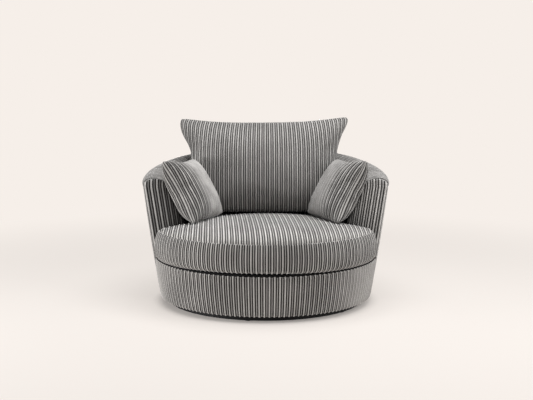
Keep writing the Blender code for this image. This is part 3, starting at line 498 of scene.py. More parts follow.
def panelsOf(kind, gap):
    # names of the tub's right, back and left panels, and the angles between their seams; gap in degrees
    seam, end = tub["seamAngle"], tub["endAngle"]
    return (("arm_" + kind + "_right", -end, seam - gap), ("back_" + kind, seam, 180 - seam),
            ("arm_" + kind + "_left", 180 - seam + gap, 180 + end))


# outer covers of the tub: ribbed cloth over wadding, drawn in at the seams
outerCover = {"rows": 16, "level": 0.35, "crown": 0.003, "sink": 0.0040, "edge": 0.010, "turnIn": 0.003,
              "roofGap": 0.0008, "seam": 0.03, "ribFade": 0.006, "edgeLift": 0.15}


def makeOuterCover(name, first, last):
    own = outerCover
    measure, angle = alongWall(first, last, own["level"], 0.0)
    share = np.linspace(0, 1, own["rows"])
    share = 0.5 - 0.5 * np.cos(math.pi * share) * (0.4 + 0.6 * np.abs(np.cos(math.pi * share)))
    top = (shoulderZ(angle) - own["roofGap"])[:, None]
    z = tub["hemZ"] + (top - tub["hemZ"]) * share
    edge = np.minimum(z - tub["hemZ"], top - z)
    depth = own["sink"] - own["crown"] * np.sin(math.pi * share) + seamDip(measure)
    depth = depth + own["turnIn"] * held(1 - edge / own["edge"]) ** 2
    lift = np.clip(edge / own["ribFade"], own["edgeLift"], 1)
    return wallPanel(name, angle, measure, z, depth, lift, tub["coverThickness"], "outerCord")


for name, first, last in panelsOf("cover", outerCover["seam"]):
    finishPiece(makeOuterCover("ribbed_" + name, first, last), "chair", "outer_" + name)


# inner padding of the tub
innerPad = {"rows": 22, "level": 0.45, "inset": 0.16, "sink": 0.0020, "seamDip": 0.005,
            "topRound": 0.016, "topSwell": 0.004, "roofGap": 0.0008, "seam": 0.05}


def makeInnerPad(name, first, last):
    own = innerPad
    measure, angle = alongWall(first, last, own["level"], own["inset"])
    top = (shoulderZ(angle) - own["roofGap"])[:, None]
    z = tub["seatZ"] + (top - tub["seatZ"]) * np.linspace(0, 1, own["rows"])
    depth = padDepth(angle[:, None], z) - own["sink"] - seamDip(measure, own["seamDip"])
    depth = depth - own["topSwell"] * held(1 - (top - z) / own["topRound"]) ** 2
    return wallPanel(name, angle, measure, z, depth, np.ones_like(z), tub["padDepth"], "innerShadedCord")


for name, first, last in panelsOf("pad", innerPad["seam"]):
    made = makeInnerPad("ribbed_inner_" + name, first, last)
    finishPiece(made, "chair", "inner_" + name)


# rim roll: ribs over a soft roll, one strip from arm front to arm front
rimRoll = {"level": 0.62, "inset": 0.06, "points": 25, "lift": 0.75, "swell": 0.002, "fade": 0.25,
           "footLift": 0.1, "across": 0.05}


def rollProfile(turn, swell=0.0):
    # half a superellipse outside and a slacker one inside, from the outer foot over to the inner foot
    power = 2 / np.where(np.cos(turn) > 0, tub["rollPower"], tub["rollInnerPower"])
    across = np.sign(np.cos(turn)) * np.abs(np.cos(turn)) ** power
    return tub["rollWidth"] * (1 - across) / 2, (tub["rollRise"] + swell) * np.abs(np.sin(turn)) ** power


def makeRimRoll():
    own = rimRoll
    measure, angle = alongWall(-tub["endAngle"], 180 + tub["endAngle"], own["level"], own["inset"])
    turn = np.linspace(0, math.pi, own["points"])
    depth, rise = rollProfile(turn, own["swell"])
    z = shoulderZ(angle)[:, None] + rise
    fade = np.clip(np.minimum(turn, math.pi - turn) / own["fade"], own["footLift"], 1)
    points = wallPoint(angle[:, None], z, depth + 0.0 * z)
    along = turn * own["across"]
    return ribbedTube("ribbed_rim_roll", points, measure, along, own["lift"] * fade + 0.0 * z, "rollCord")


finishPiece(makeRimRoll(), "chair", "rim_roll")


# drum band
drumBand = {
    "rows": 24,
    "crown": 0.004,
    "sink": 0.0040,
    "edge": 0.015,               # height of the rounding at the top and the hem, and how far it turns in
    "drawnIn": 0.0056,
    "edgeLift": 1.5,
    "rearGap": 0.0012,
    "footBack": 0.0030,          # both edges draw back between the ribs, which end in round tips
    "tipReach": 0.008,
    "sideRise": 0.004,           # the top edge comes up a little towards the arms, above a level
    "riseLevel": 0.15,
    "riseOver": 0.06,
    "bunching": 0.92,            # how much closer the rows lie at the top and the hem
    "measuredRow": 5,            # the ribs are measured at this row's ends, at this height
    "measuredLevel": 0.12,
    "endGap": 0.0003,
}


def makeDrumBand():
    own = drumBand
    hem, roof = tub["hemZ"], tub["drumTop"]
    share = np.linspace(0, 1, own["rows"])
    share = share - own["bunching"] * np.sin(2 * math.pi * share) / (2 * math.pi)
    z = np.append(hem + (roof - hem) * share, [roof, hem])
    edge = np.minimum(z - hem, roof - z)
    near = held(1 - edge / own["edge"])
    depth = own["sink"] - own["crown"] * np.sin(math.pi * (z - hem) / (roof - hem))
    depth = depth + own["drawnIn"] * (1 - np.sqrt(1 - near ** 2))
    depth[-2:] = tub["coverThickness"] + own["rearGap"]
    end = np.degrees(np.arcsin((tub["coverEndY"] - own["endGap"]) / (frontDepth(z) - depth)))
    sweep = np.linspace(0, 1, cord["samples"])
    first = end[own["measuredRow"]]
    line = drumPoint(first + (-180 - 2 * first) * sweep, own["measuredLevel"], 0.0)
    measure, part = ribsAlong(line, sweep)
    part = part[:, None]
    depth = depth + seamDip(measure) * (np.arange(len(z)) < own["rows"])
    # each rib's round tip stands past the feet between the ribs
    tip = (ribHeight(measure) - own["footBack"])[:, None]
    ends = held(1 - (roof - z) / own["tipReach"]) - held(1 - (z - hem) / own["tipReach"])
    # the top edge comes up where the cushion above sags
    sideness = np.abs(np.cos(math.pi * part)) ** 3
    rise = own["sideRise"] * sideness * held((z - own["riseLevel"]) / own["riseOver"])
    points = drumPoint(end + (-180 - 2 * end) * part, z + tip * ends + rise, depth)
    lift = 1 + (own["edgeLift"] - 1) * near + 0.0 * part
    lift[:, -2:] = 0
    points = raiseRibs(points, measure[:, None], lift, closed=True)
    points[:, -2:] = drumPoint(end[-2:] + (-180 - 2 * end[-2:]) * part, z[None, -2:], depth[:, -2:])
    band = sweepShell(points, together(measure[:, None], z))
    return makePiece("ribbed_drum_band", [band], [cloth["drumCord"]])


finishPiece(makeDrumBand(), "chair", "drum_band")


# arm facings: flat padded panels with ribs along their outer edge, that close up inwards
facing = {"rows": 44, "gap": 0.0003, "round": 0.011, "sink": 0.0030, "crown": 0.0045, "crownOver": 0.06,
          "ribFade": 0.006, "closeUp": 0.30, "wadding": 0.004}


def makeFacing(name, side):
    own = facing
    front, rear, gap = tub["facingFrontY"], tub["facingBackY"], own["gap"]
    levels = np.linspace(tub["seatZ"], armShoulderZ, 400)
    width = armX(front, levels, gap) - armX(front, levels, padDepth(-tub["endAngle"], levels) - gap)
    # columns lie at growing distances from the outer edge, and each runs from low to high
    place, measure = ribColumns(float(width.max()) - 0.001)
    place = place * (1 + own["closeUp"] * (1 - place / place[-1]))
    widest = np.argmax(width)
    low = np.interp(place, width[:widest + 1], levels[:widest + 1])
    low = np.where(place <= width[0], tub["seatZ"], low)
    rollX, rollZ = rollProfile(np.linspace(0, math.pi, 200))
    slope = np.interp(place, width[widest:][::-1], levels[widest:][::-1])
    high = np.where(place > width[-1], slope, np.interp(place, rollX, armShoulderZ + rollZ))
    share = 0.5 - 0.5 * np.cos(math.pi * np.linspace(0, 1, own["rows"]))
    z = low[:, None] + (high - low)[:, None] * share
    x = side * (armX(front, np.minimum(z, armShoulderZ), gap) - place[:, None])
    flat = together(x, z)
    away = edgeDistance(flat, np.concatenate([flat[:, 0], flat[-1], flat[::-1, -1], flat[0, ::-1]]))
    dome = 1 - held(1 - away / own["round"]) ** 2
    foot = rear - own["wadding"]
    crown = own["crown"] * held(away / own["crownOver"])
    y = foot - (foot - front - own["sink"]) * np.sqrt(dome) - crown
    y = y - ribHeight(measure)[:, None] * held(away / own["ribFade"])
    uv = together(measure[:, None], z)
    return makePiece(name, [pillowShell(together(x, y, z), together(x, rear, z), uv)], [facingCloth(side)])


def facingCloth(side):
    return cloth["facingCordRightLit" if side > 0 else "facingCordLeftShaded"]


# the facing's cloth, turned back over the edge of its board like a welt
turnedCloth = {"middleY": -0.0986, "halfLong": 0.0044, "deep": 0.0056, "thick": 0.0050}


def makeTurnedCloth(name, side):
    # a half ellipse carried up the outer edge, over the roll and down the inner edge
    own = turnedCloth
    levels = np.linspace(tub["seatZ"], armShoulderZ, 80)
    depth, rise = rollProfile(np.linspace(0, math.pi, 50)[1:-1])
    depth = np.concatenate([0 * levels, depth, padDepth(-tub["endAngle"], levels[::-1])])
    z = np.concatenate([levels, armShoulderZ + rise, levels[::-1]])
    line = together(armX(own["middleY"], np.minimum(z, armShoulderZ), depth), z)
    along = np.gradient(line, axis=0)
    inward = together(-along[:, 1], along[:, 0]) / np.linalg.norm(along, axis=1)[:, None]
    turn = np.linspace(0, math.pi, 9)
    sunk = own["deep"] - own["thick"] * np.sin(turn)
    flat = line[:, None] + inward[:, None] * sunk[None, :, None]
    points = together(side * flat[..., 0], own["middleY"] - own["halfLong"] * np.cos(turn), flat[..., 1])
    # one wide rib lies along the welt
    uv = together(0.5 * cord["repeat"] * turn / math.pi, z[:, None])
    return makePiece(name, [sweepShell(points, uv)], [facingCloth(side)])


for name, side in (("right", 1), ("left", -1)):
    made = makeFacing("ribbed_arm_facing_" + name, side)
    finishPiece(made, "chair", "arm_facing_" + name)
    finishPiece(makeTurnedCloth("turned_cloth_" + name, side), "chair", None)


# seat cushion: a T-shaped domed top, a band with upright ribs and a flat underside with ribs of its own
seat = {
    "bandHeight": 0.1395,
    "crown": 0.052,
    "dish": 0.85,
    "centreY": -0.180,
    "edgePower": 6,
    "edgeFall": 0.55,
    "sideInset": 0.004,
    "frontOverhang": 0.009,
    "bandSwell": 0.012,
    "sideSwell": 0.007,
    "sideSag": 0.003,
    "middleRise": 0.006,         # the band's foot comes up where the gap over the drum is widest
    "middleX": -0.10,
    "middleHalf": 0.38,
    "topLift": 1.35,
    "topFade": 0.005,            # metres from the seam over which the top's ribs rise
    "topDeep": 0.022,            # how far the top's own underside lies below the seam
    "seamWidth": 0.006,
    "uneven": (0.0015, 9, 11),   # height of the top's slow unevenness, and its waves across and back
    "bandRound": 0.022,
    "bandLift": 0.005,
    "footBack": 0.0020,
    "tipReach": 0.020,
    "bandTopRound": 0.008,
    "corner": 0.065,
    "gap": 0.005,
    "twist": -0.058,             # metres the top's ribs drift sideways in each metre back
    "seamDrop": 0.009,
    "underShrink": 0.955,
    "underLift": 0.0046,
    "underTop": 0.008,
    "rows": 64,
    "underRows": 20,
}


def seatOutline():
    # right half: round the front, the shoulder before the arm, and back along the tub, then its mirror
    reachX = float(halfWidth(tub["drumTop"])) - seat["sideInset"]
    reachY = float(frontDepth(tub["drumTop"])) + seat["frontOverhang"]
    shoulderY = tub["facingFrontY"] - seat["gap"]
    corner = seat["corner"]
    turn = np.linspace(-math.pi / 2, math.asin((shoulderY - corner) / reachY), 60)
    front = together(reachX * np.cos(turn), reachY * np.sin(turn))
    bend = np.linspace(0, math.pi / 2, 9)[1:]
    arc = together(front[-1, 0] - corner + corner * np.cos(bend), shoulderY - corner + corner * np.sin(bend))
    # the tub's inside is taken at the level where it comes nearest to the middle
    angle = np.linspace(-8.0, 90.0, 60)
    levels = np.linspace(tub["seatZ"], tub["seamZ"] + seat["crown"], 8)[:, None]
    wall = wallPoint(angle[None, :], levels, padDepth(angle[None, :], levels) + seat["gap"])
    nearest = np.argmin(np.hypot(wall[..., 0], wall[..., 1]), axis=0)
    inside = wall[nearest, np.arange(len(angle)), :2]
    level = tub["padLevel"]
    sideX = float(armX(shoulderY, level, padDepth(-tub["endAngle"], level) + seat["gap"]))
    notch = np.array([sideX, shoulderY]) + np.array([[0.010, 0.0], [0.003, 0.003], [0.0, 0.010]])
    right = np.concatenate([front, arc, notch, inside[inside[:, 1] > shoulderY + 0.012]])
    right[-1, 0] = 0.0
    return np.concatenate([right, right[1:-1][::-1] * np.array([-1.0, 1.0])])


outlineOfSeat = seatOutline()


def seatPart(x, y):
    # share of the way from the middle to the outline, found along a fan of rays
    ring = evenly(closedRing(outlineOfSeat) - np.array([0.0, seat["centreY"]]), 3000)
    ray = np.arctan2(ring[:, 1], ring[:, 0])
    order = np.argsort(ray)
    away = y - seat["centreY"]
    reach = np.interp(np.arctan2(away, x), ray[order], np.linalg.norm(ring, axis=1)[order], period=math.tau)
    return held(np.hypot(x, away) / reach)


def seatTopZ(x, y):
    # the edge rounds over from the seam, and the middle is a shallow dome
    edge = (1 - seatPart(x, y) ** seat["edgePower"]) ** seat["edgeFall"]
    partX = x / float(halfWidth(tub["seamZ"]))
    partY = (y - seat["centreY"]) / float(frontDepth(tub["seamZ"]))
    return tub["seamZ"] + seat["crown"] * edge * (1 - seat["dish"] * (partX ** 2 + partY ** 2))


def outlineLimit(x, pick):
    # where the seat's outline crosses each line x, at the front or at the back
    count = len(outlineOfSeat)
    widest = np.argmax(outlineOfSeat[:count // 2 + 2, 0])
    right = outlineOfSeat[:count // 2 + 1]
    part = right[:widest + 1] if pick == "front" else right[widest:][::-1]
    order = np.argsort(part[:, 0], kind="stable")
    return np.interp(np.abs(x), part[order, 0], part[order, 1])


def seatGrid(rows):
    # columns follow the ribs, which run back with a slight turn, and rows go from the front edge to the back
    wide = float(outlineOfSeat[:, 0].max()) - 0.0006
    place, measure = ribColumns(2 * wide)
    start = place - wide

    def ribX(start, y):
        # the ribs drift sideways, less and less towards both sides
        return start + seat["twist"] * (y - seat["centreY"]) * held(1 - (start / wide) ** 4)

    front = back = np.zeros_like(start)
    for step in range(12):
        front = outlineLimit(np.clip(ribX(start, front), -wide, wide), "front")
        back = outlineLimit(np.clip(ribX(start, back), -wide, wide), "back")
    back = np.maximum(back, front + 0.001)
    share = np.linspace(0, 1, rows)
    share = share - 0.35 * np.sin(2 * math.pi * share) / (2 * math.pi)
    share = 0.55 * share + 0.45 * (0.5 - 0.5 * np.cos(math.pi * share))
    y = front[:, None] + (back - front)[:, None] * share
    x = ribX(start[:, None], y)
    return x, y, measure, edgeDistance(together(x, y), outlineOfSeat)


def seatTop():
    x, y, measure, away = seatGrid(seat["rows"])
    z = seatTopZ(x, y) - seat["seamDrop"] * np.exp(-(away / seat["seamWidth"]) ** 2)
    height, across, back = seat["uneven"]
    z = z + height * np.sin(across * x + 1.3) * np.sin(back * y + 0.4) * held(away / 0.1)
    lift = seat["topLift"] * held(away / seat["topFade"])
    top = raiseRibs(together(x, y, z), measure[:, None], lift, outward=np.array([0.0, 0.0, 1.0]))
    under = together(x, y, tub["seamZ"] - seat["topDeep"])
    return pillowShell(top, under, together(measure[:, None], y), 0)


def seatBand():
    # swept round the outline: turned under at the bottom, swollen, and turned in to the seam at the top
    ring = closedRing(outlineOfSeat)
    measure, x, y = (values[:-1] for values in ribsAlong(ring, *ring.T))
    flat = together(x, y)
    step = np.roll(flat, -3, axis=0) - np.roll(flat, 3, axis=0)
    side = together(step[:, 1], -step[:, 0]) / np.linalg.norm(step, axis=1)[:, None]
    frontness = held((tub["facingFrontY"] - 0.004 - flat[:, 1]) / 0.03)[:, None]
    flank = frontness * side[:, :1] ** 2
    rise = held(1 - ((flat[:, :1] - seat["middleX"]) / seat["middleHalf"]) ** 2)
    rise = seat["middleRise"] * frontness * rise
    bend = np.linspace(0, math.pi / 2, 9)
    low, high, foot = seat["bandRound"], seat["bandTopRound"], seat["bandLift"]
    tall = seat["bandHeight"] - 0.001
    inset = np.concatenate([low * (1 - np.sin(bend)), np.zeros(9), high * (1 - np.cos(bend[1::2]))])
    up = np.concatenate([foot + low * (1 - np.cos(bend)), np.linspace(foot + low, tall - high, 11)[1:-1],
                         tall - high + high * np.sin(bend[1::2])])
    swell = seat["bandSwell"] * (0.25 + 0.75 * frontness) + seat["sideSwell"] * flank
    shift = swell * np.sin(math.pi * held(up / tall)) ** 0.8 - inset
    tip = (ribHeight(measure) - seat["footBack"])[:, None]
    near = held(1 - (up - foot) / seat["tipReach"])
    height = tub["seatZ"] + up + (rise - tip - seat["sideSag"] * flank) * near
    band = raised(flat[:, None, :] + side[:, None, :] * shift[..., None], height)
    lift = np.clip(inset / low * 0.6 + 1, 1, 1.4) * np.clip((1 - up / tall) / 0.02, 0.25, 1) + 0.0 * shift
    outward = together(side[:, :1], side[:, 1:], 0.0)
    band = raiseRibs(band, measure[:, None], lift, outward=outward)
    return sweepShell(band, together(measure[:, None], height), 1, closedPath=True, closedProfile=False)


def seatUnder():
    x, y, measure, away = seatGrid(seat["underRows"])
    uv = together(measure[:, None], y)
    x = x * seat["underShrink"]
    y = seat["centreY"] + (y - seat["centreY"]) * seat["underShrink"]
    base = tub["seatZ"] + seat["underLift"] - ribHeight(measure)[:, None] * held(away / 0.01)
    return pillowShell(together(x, y, base), together(x, y, tub["seatZ"] + seat["underTop"]), uv, 1)


seatCushion = makePiece("ribbed_seat_cushion", [seatTop(), seatBand(), seatUnder()],
                        [cloth["seatTopLitCord"], cloth["seatBandCord"]], 60)
finishPiece(seatCushion, "seat_cushion", "seat_cushion")


# loose cushions: knife edged, blown up as cloth, then ribbed
cushionShape = {
    "cornerPull": {"back": 0.065, "scatter": 0.035},
    "cornerPower": 10,
    "grid": {"back": (61, 45), "scatter": (41, 41)},     # columns and rows before the ribs
    "swellPowers": (2.6, 0.62),
    "steps": 240,                # steps from side to side in which the cloth is measured
    "runOff": 0.015,             # metres beside a side seam where ribs that don't fit are pressed together
    "seam": (0.008, 0.012),      # metres over which the ribs rise from a side seam, and from an end seam
}


def pillowGrid(kind, own, halfAcross, height):
    # across, outwards and up in the cushion's own plane, finer towards the edges
    columns, rows = cushionShape["grid"][kind]
    power, slack = cushionShape["swellPowers"]
    u, v = np.meshgrid(np.linspace(-1, 1, columns), np.linspace(-1, 1, rows), indexing="ij")
    u = np.sin(u * math.pi / 2) * 0.35 + u * 0.65
    v = (1 + np.sin(v * math.pi / 2) * 0.35 + v * 0.65) / 2
    fade = ((1 - np.abs(u) ** power) * (1 - np.abs(2 * v - 1) ** power)) ** slack
    corner = np.abs(u * (2 * v - 1)) ** cushionShape["cornerPower"]
    pull = 1 - cushionShape["cornerPull"][kind] * corner
    across = u * halfAcross(v) * pull
    up = height(u) * (0.5 + (v - 0.5) * pull)
    return np.stack([together(across, swell * fade, up) for swell in (own["frontSwell"], -own["rearSwell"])])


def cushionAxes(yaw, lean):
    turn = math.radians(yaw)
    tilt = math.radians(lean)
    face = np.array([math.sin(turn), -math.cos(turn), 0.0])
    upright = np.array([0.0, 0.0, 1.0])
    across = np.array([math.cos(turn), math.sin(turn), 0.0])
    return np.array([across, face * math.cos(tilt) + upright * math.sin(tilt),
                     upright * math.cos(tilt) - face * math.sin(tilt)])


def placeInBox(both, node, lift=0.004):
    # over the middle of its solid's box in plan, and standing just above that box's bottom
    low, high = (np.array(corner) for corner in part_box(node))
    own = both.reshape(-1, 3)
    move = (low + high - own.min(axis=0) - own.max(axis=0)) / 2
    move[2] = low[2] + lift - own[:, 2].min()
    return both + move


def blowUp(both, settings):
    # runs the two grids as a sewn cloth bag under pressure, and caps how far each point has moved
    front, rear = both
    start = pillowShell(front, rear, np.zeros(front.shape[:2] + (2,)))
    mesh = bpy.data.meshes.new("bag")
    mesh.from_pydata(start["points"].tolist(), [], np.concatenate(start["faces"]).tolist())
    bag = addObject("bag", mesh)
    rules = bag.modifiers.new("cloth", "CLOTH").settings
    rules.quality = 5
    rules.mass = 0.3
    rules.tension_stiffness = 18
    rules.compression_stiffness = 18
    rules.shear_stiffness = 8
    rules.bending_stiffness = 0.4
    rules.use_pressure = True
    rules.uniform_pressure_force = settings["pressure"]
    rules.shrink_min = -settings["spare"]
    rules.effector_weights.gravity = 0
    scene = bpy.context.scene
    for number in range(1, settings["frames"] + 1):
        scene.frame_set(number)
    solved = bag.evaluated_get(bpy.context.evaluated_depsgraph_get()).to_mesh()
    moved = np.zeros(len(start["points"]) * 3, np.float64)
    solved.vertices.foreach_get("co", moved)
    moved = moved.reshape(-1, 3) - start["points"]
    scene.frame_set(1)
    bpy.data.objects.remove(bag, do_unlink=True)
    length = np.linalg.norm(moved, axis=1, keepdims=True)
    moved = moved * settings["cap"] * np.tanh(length / settings["cap"]) / np.maximum(length, 1e-9)
    points = start["points"] + moved
    rows, count = front.shape[:2]
    near = points[:rows * count].reshape(rows, count, 3)
    far = near.copy()
    far[1:-1, 1:-1] = points[rows * count:].reshape(rows - 2, count - 2, 3)
    return np.stack([near, far])


def cubicWeights(old, count):
    # rows of Catmull-Rom weights that carry values at evenly numbered places to a number of new ones
    place = np.linspace(0, old - 1, count)
    cell = np.minimum(place.astype(int), old - 2)
    t = place - cell
    weights = np.zeros((count, old))
    terms = (-0.5 * t + t ** 2 - 0.5 * t ** 3, 1 - 2.5 * t ** 2 + 1.5 * t ** 3,
             0.5 * t + 2 * t ** 2 - 1.5 * t ** 3, -0.5 * t ** 2 + 0.5 * t ** 3)
    for shift, term in zip((-1, 0, 1, 2), terms):
        np.add.at(weights, (np.arange(count), np.clip(cell + shift, 0, old - 1)), term)
    return weights


def sewEdges(grid, outline):
    # gives a grid the edge of another one
    grid[0], grid[-1] = outline[0], outline[-1]
    grid[:, 0], grid[:, -1] = outline[:, 0], outline[:, -1]
    return grid


def ribPillow(name, both, own, lift, material, mirror=False):
    # columns at each rib's top and foot, at even distances over the cloth; the ribs draw together a
    # little towards the top, and where the cloth is narrower than all its ribs they run off at the seam
    width, rows = own["width"], own["rows"]
    steps, runOff, seam = cushionShape["steps"], cushionShape["runOff"], cushionShape["seam"]
    place, measure = ribColumns(width)
    away = (place - width / 2)[None, :, None]
    across = cubicWeights(both.shape[1], steps + 1)
    upward = cubicWeights(both.shape[2], rows)
    smooth = np.einsum("ai,bj,sijk->sabk", across, upward, both)
    step = np.linalg.norm(np.diff(smooth, axis=1), axis=-1)
    run = np.concatenate([np.zeros((2, 1, rows)), np.cumsum(step, axis=1)], axis=1)
    run = run - run[:, steps // 2:steps // 2 + 1]
    ease = 1 - own["gather"] * held(np.linspace(0, 1, rows) / 0.4 - 1.5) ** 1.2
    reach = np.where(away > 0, run[:, -1:], -run[:, :1])
    base = np.abs(away) * ease
    wide = width / 2 * ease
    knee = reach - runOff
    pressed = knee + (base - knee) * runOff / np.maximum(wide - knee, 1e-6)
    stretched = base * (1 + (reach / wide - 1) * (base / wide) ** 4)
    target = np.sign(away) * np.where(reach > wide, stretched, np.where(base < knee, base, pressed))
    fine = np.zeros((2, len(place), rows, 3))
    for k, row, axis in np.ndindex(2, rows, 3):
        fine[k, :, row, axis] = np.interp(target[k, :, row], run[k, :, row], smooth[k, :, row, axis])
    sewEdges(fine[1], fine[0])
    middle = fine.mean(axis=0)
    edge = np.minimum(np.arange(rows), rows - 1 - np.arange(rows))[None, :] / (seam[1] / width * rows)
    sides = np.minimum(place, width - place)[:, None] / seam[0]
    fade = lift * held(np.minimum(edge, sides)) * held(np.gradient(target, place, axis=1))
    front, rear = (sewEdges(raiseRibs(grid, measure[:, None], part, outward=grid - middle), fine[0])
                   for grid, part in zip(fine, fade))
    across = measure[-1] - measure if mirror else measure
    uv = together(across[:, None], np.linspace(0, width, rows))
    return makePiece(name, [pillowShell(front, rear, uv)], [cloth[material]], 180)


backCushion = {
    "halfWidth": 0.375,
    "belly": 0.010,
    "ear": 0.078,
    "earStart": 0.60,
    "earPower": 1.15,
    "earSwell": 0.009,           # the ear on the left is fuller below its corner
    "earDroop": 0.004,           # and the corner itself hangs a little and is drawn in
    "earPull": 0.007,
    "height": 0.5225,
    "dip": 0.040,
    "dipPower": 3,
    "slant": 0.0045,
    "frontSwell": 0.105,
    "rearSwell": 0.150,
    "lean": 20.0,
    "width": 0.920,
    "rows": 84,
    "gather": 0.06,
    "cloth": {"pressure": 4.0, "spare": 0.015, "frames": 20, "cap": 0.008},
}


def backAcross(v):
    own = backCushion
    belly = own["belly"] * np.sin(math.pi * held(v / 0.8))
    ear = own["ear"] * held((v - own["earStart"]) / (1 - own["earStart"])) ** own["earPower"]
    return own["halfWidth"] + belly + ear - own["belly"] * held(1 - v / 0.08) ** 2


def backHeight(u):
    own = backCushion
    return own["height"] - own["dip"] * (1 - np.abs(u) ** own["dipPower"]) + own["slant"] * u


def makeBackCushion():
    own = backCushion
    both = pillowGrid("back", own, backAcross, backHeight)
    left = np.clip(-both[..., 0] / own["halfWidth"], 0, None)
    below = np.exp(-((both[..., 2] / own["height"] - 0.80) / 0.12) ** 2)
    both[..., 0] -= own["earSwell"] * left ** 3 * below
    tip = held((left - 1.05) / 0.14) ** 2 * (both[..., 2] > 0.5 * own["height"])
    both[..., 0] += own["earPull"] * tip
    both[..., 2] -= own["earDroop"] * tip
    both = placeInBox(both @ cushionAxes(0, own["lean"]), "back_cushion")
    both[..., 0] += 0.25 * own["earPull"] - 0.2 * own["earSwell"]
    return ribPillow("ribbed_back_cushion", blowUp(both, own["cloth"]), own, 1.0, "backCord")


finishPiece(makeBackCushion(), "back_cushion", "back_cushion")

scatterCushion = {
    "side": 0.338,
    "drawIn": 0.026,
    "frontSwell": 0.066,
    "rearSwell": 0.096,
    "lean": 29.5,
    "yaw": {"left": 20.5, "right": 21.5},
    "width": 0.352,
    "rows": 60,
    "gather": 0.0,
    "press": 0.024,
    "tuck": {"left": 0.0, "right": 0.030},         # the outer top corner is tucked in
    "spread": {"left": 0.004, "right": 0.016},     # and the inner bottom one spreads out
    "cloth": {"pressure": 4.0, "spare": 0.02, "frames": 20, "cap": 0.008},
}


def makeScatter(name, side):
    own = scatterCushion

    def halfAcross(v):
        return own["side"] / 2 - own["drawIn"] * np.sin(math.pi * v)

    def height(u):
        pressed = own["press"] * held(-side * u) ** 2
        return own["side"] - own["drawIn"] * np.cos(math.pi * u / 2) - pressed

    both = pillowGrid("scatter", own, halfAcross, height)
    axes = cushionAxes(-side * (90 - own["yaw"][name]), own["lean"])
    outer = held(2 * side * both[..., 0] / own["side"])
    inner = held(-2 * side * both[..., 0] / own["side"])
    up = held(both[..., 2] / own["side"])
    shift = -side * (own["tuck"][name] * (outer * up) ** 4 + own["spread"][name] * inner ** 2 * (1 - up))
    both = placeInBox(both @ axes, "scatter_cushion_" + name) + shift[..., None] * axes[0]
    return ribPillow("ribbed_scatter_cushion_" + name, blowUp(both, own["cloth"]), own, 0.9,
                     "scatterCord" + name.capitalize(), mirror=side > 0)


for name, side in (("left", -1), ("right", 1)):
    node = "scatter_cushion_" + name
    finishPiece(makeScatter(name, side), node, node)


# lining, paint, plastic and metal: two shades in soft patches over a fine grain
def patchyMaterial(name, colour, roughness, patch, shades, grain, metallic=0.0, specular=None, dulled=False,
                   dots=False):
    # patch is a noise's scale and detail, and grain its scale, detail, depth and strength; a metal's
    # patches also dull it, and a lining's grain is a grid of pressed dots
    material, tree, shader = startMaterial(name, colour, roughness, metallic, specular)
    place = objectPlace(tree)
    patches = noiseNode(tree, place, *patch)
    tree.links.new(rampNode(tree, patches, shades), shader.inputs["Base Color"])
    if dulled:
        spread = rangeNode(tree, patches, 0.0, 1.0, roughness - 0.08, roughness + 0.12, "LINEAR")
        tree.links.new(spread, shader.inputs["Roughness"])
    scale, detail, depth, strength = grain
    if dots:
        inputs = {"Scale": scale, "Randomness": detail, "Vector": place}
        height = addNode(tree, "TexVoronoi", inputs).outputs["Distance"]
    else:
        height = noiseNode(tree, place, scale, detail)
    addBump(tree, shader, height, depth, strength)
    return material


def metalMaterial(name, colour, roughness, spangle, depth):
    shades = [(0.35, between(colour, (0, 0, 0), 0.28)), (0.65, colour)]
    grain = (900.0, 2.0, depth, 0.4)
    return patchyMaterial(name, colour, roughness, (spangle, 3.0), shades, grain, 1.0, dulled=True)


# black lining cloth; on the deck pad its near-black is also painted shade in the gap between the seat
# cushion and the drum
lining = patchyMaterial("liningClothAndGapShade", (0.008, 0.008, 0.0085), 0.9, (9.0, 4.0),
                        [(0.3, (0.006, 0.006, 0.0065)), (0.7, (0.012, 0.012, 0.0125))],
                        (420.0, 0.15, 0.0004, 0.5), specular=0.08, dots=True)
boardPaint = patchyMaterial("blackPaint", (0.006, 0.006, 0.0065), 0.6, (14.0, 4.0),
                            [(0.3, (0.004, 0.004, 0.0045)), (0.75, (0.010, 0.010, 0.0105))],
                            (260.0, 3.0, 0.0004, 0.5), specular=0.15)
glidePlastic = patchyMaterial("glidePlastic", (0.014, 0.014, 0.015), 0.5, (120.0, 3.0),
                              [(0.4, (0.010, 0.010, 0.011)), (0.8, (0.05, 0.05, 0.05))],
                              (1400.0, 2.0, 0.0002, 0.5), specular=0.2)
zincSteel = metalMaterial("zincSteel", (0.56, 0.56, 0.55), 0.38, 60.0, 0.0002)
ballSteel = metalMaterial("ballSteel", (0.62, 0.62, 0.63), 0.16, 40.0, 0.00004)
springSteel = metalMaterial("springSteel", (0.20, 0.195, 0.19), 0.42, 90.0, 0.0002)


# deck pad under the seat cushion: lining cloth over a thin pad, sewn in channels; its near-black lining also
# stands as painted shade in the gap over the drum
deckPad = {"frontDepth": 0.0085, "round": 0.003, "channel": 0.062, "sewn": 0.0012, "rows": 40,
           "stations": 180}


def deckOutline(inset):
    # the front follows the drum, and from the arm fronts back it runs inside the posts
    z = tub["drumTop"]
    reach = float(frontDepth(z)) - deckPad["frontDepth"] - inset
    end = math.degrees(math.asin((tub["coverEndY"] - 0.003) / reach))
    front = drumPoint(np.linspace(-180 - end, end, 80), z, deckPad["frontDepth"] + inset)
    back = wallPoint(np.linspace(-tub["endAngle"], 180 + tub["endAngle"], 160), z, tub["padDepth"] + inset)
    ring = np.concatenate([front, back, front[:1]])[:, :2]
    return evenly(ring, deckPad["stations"] + 1)[:-1]


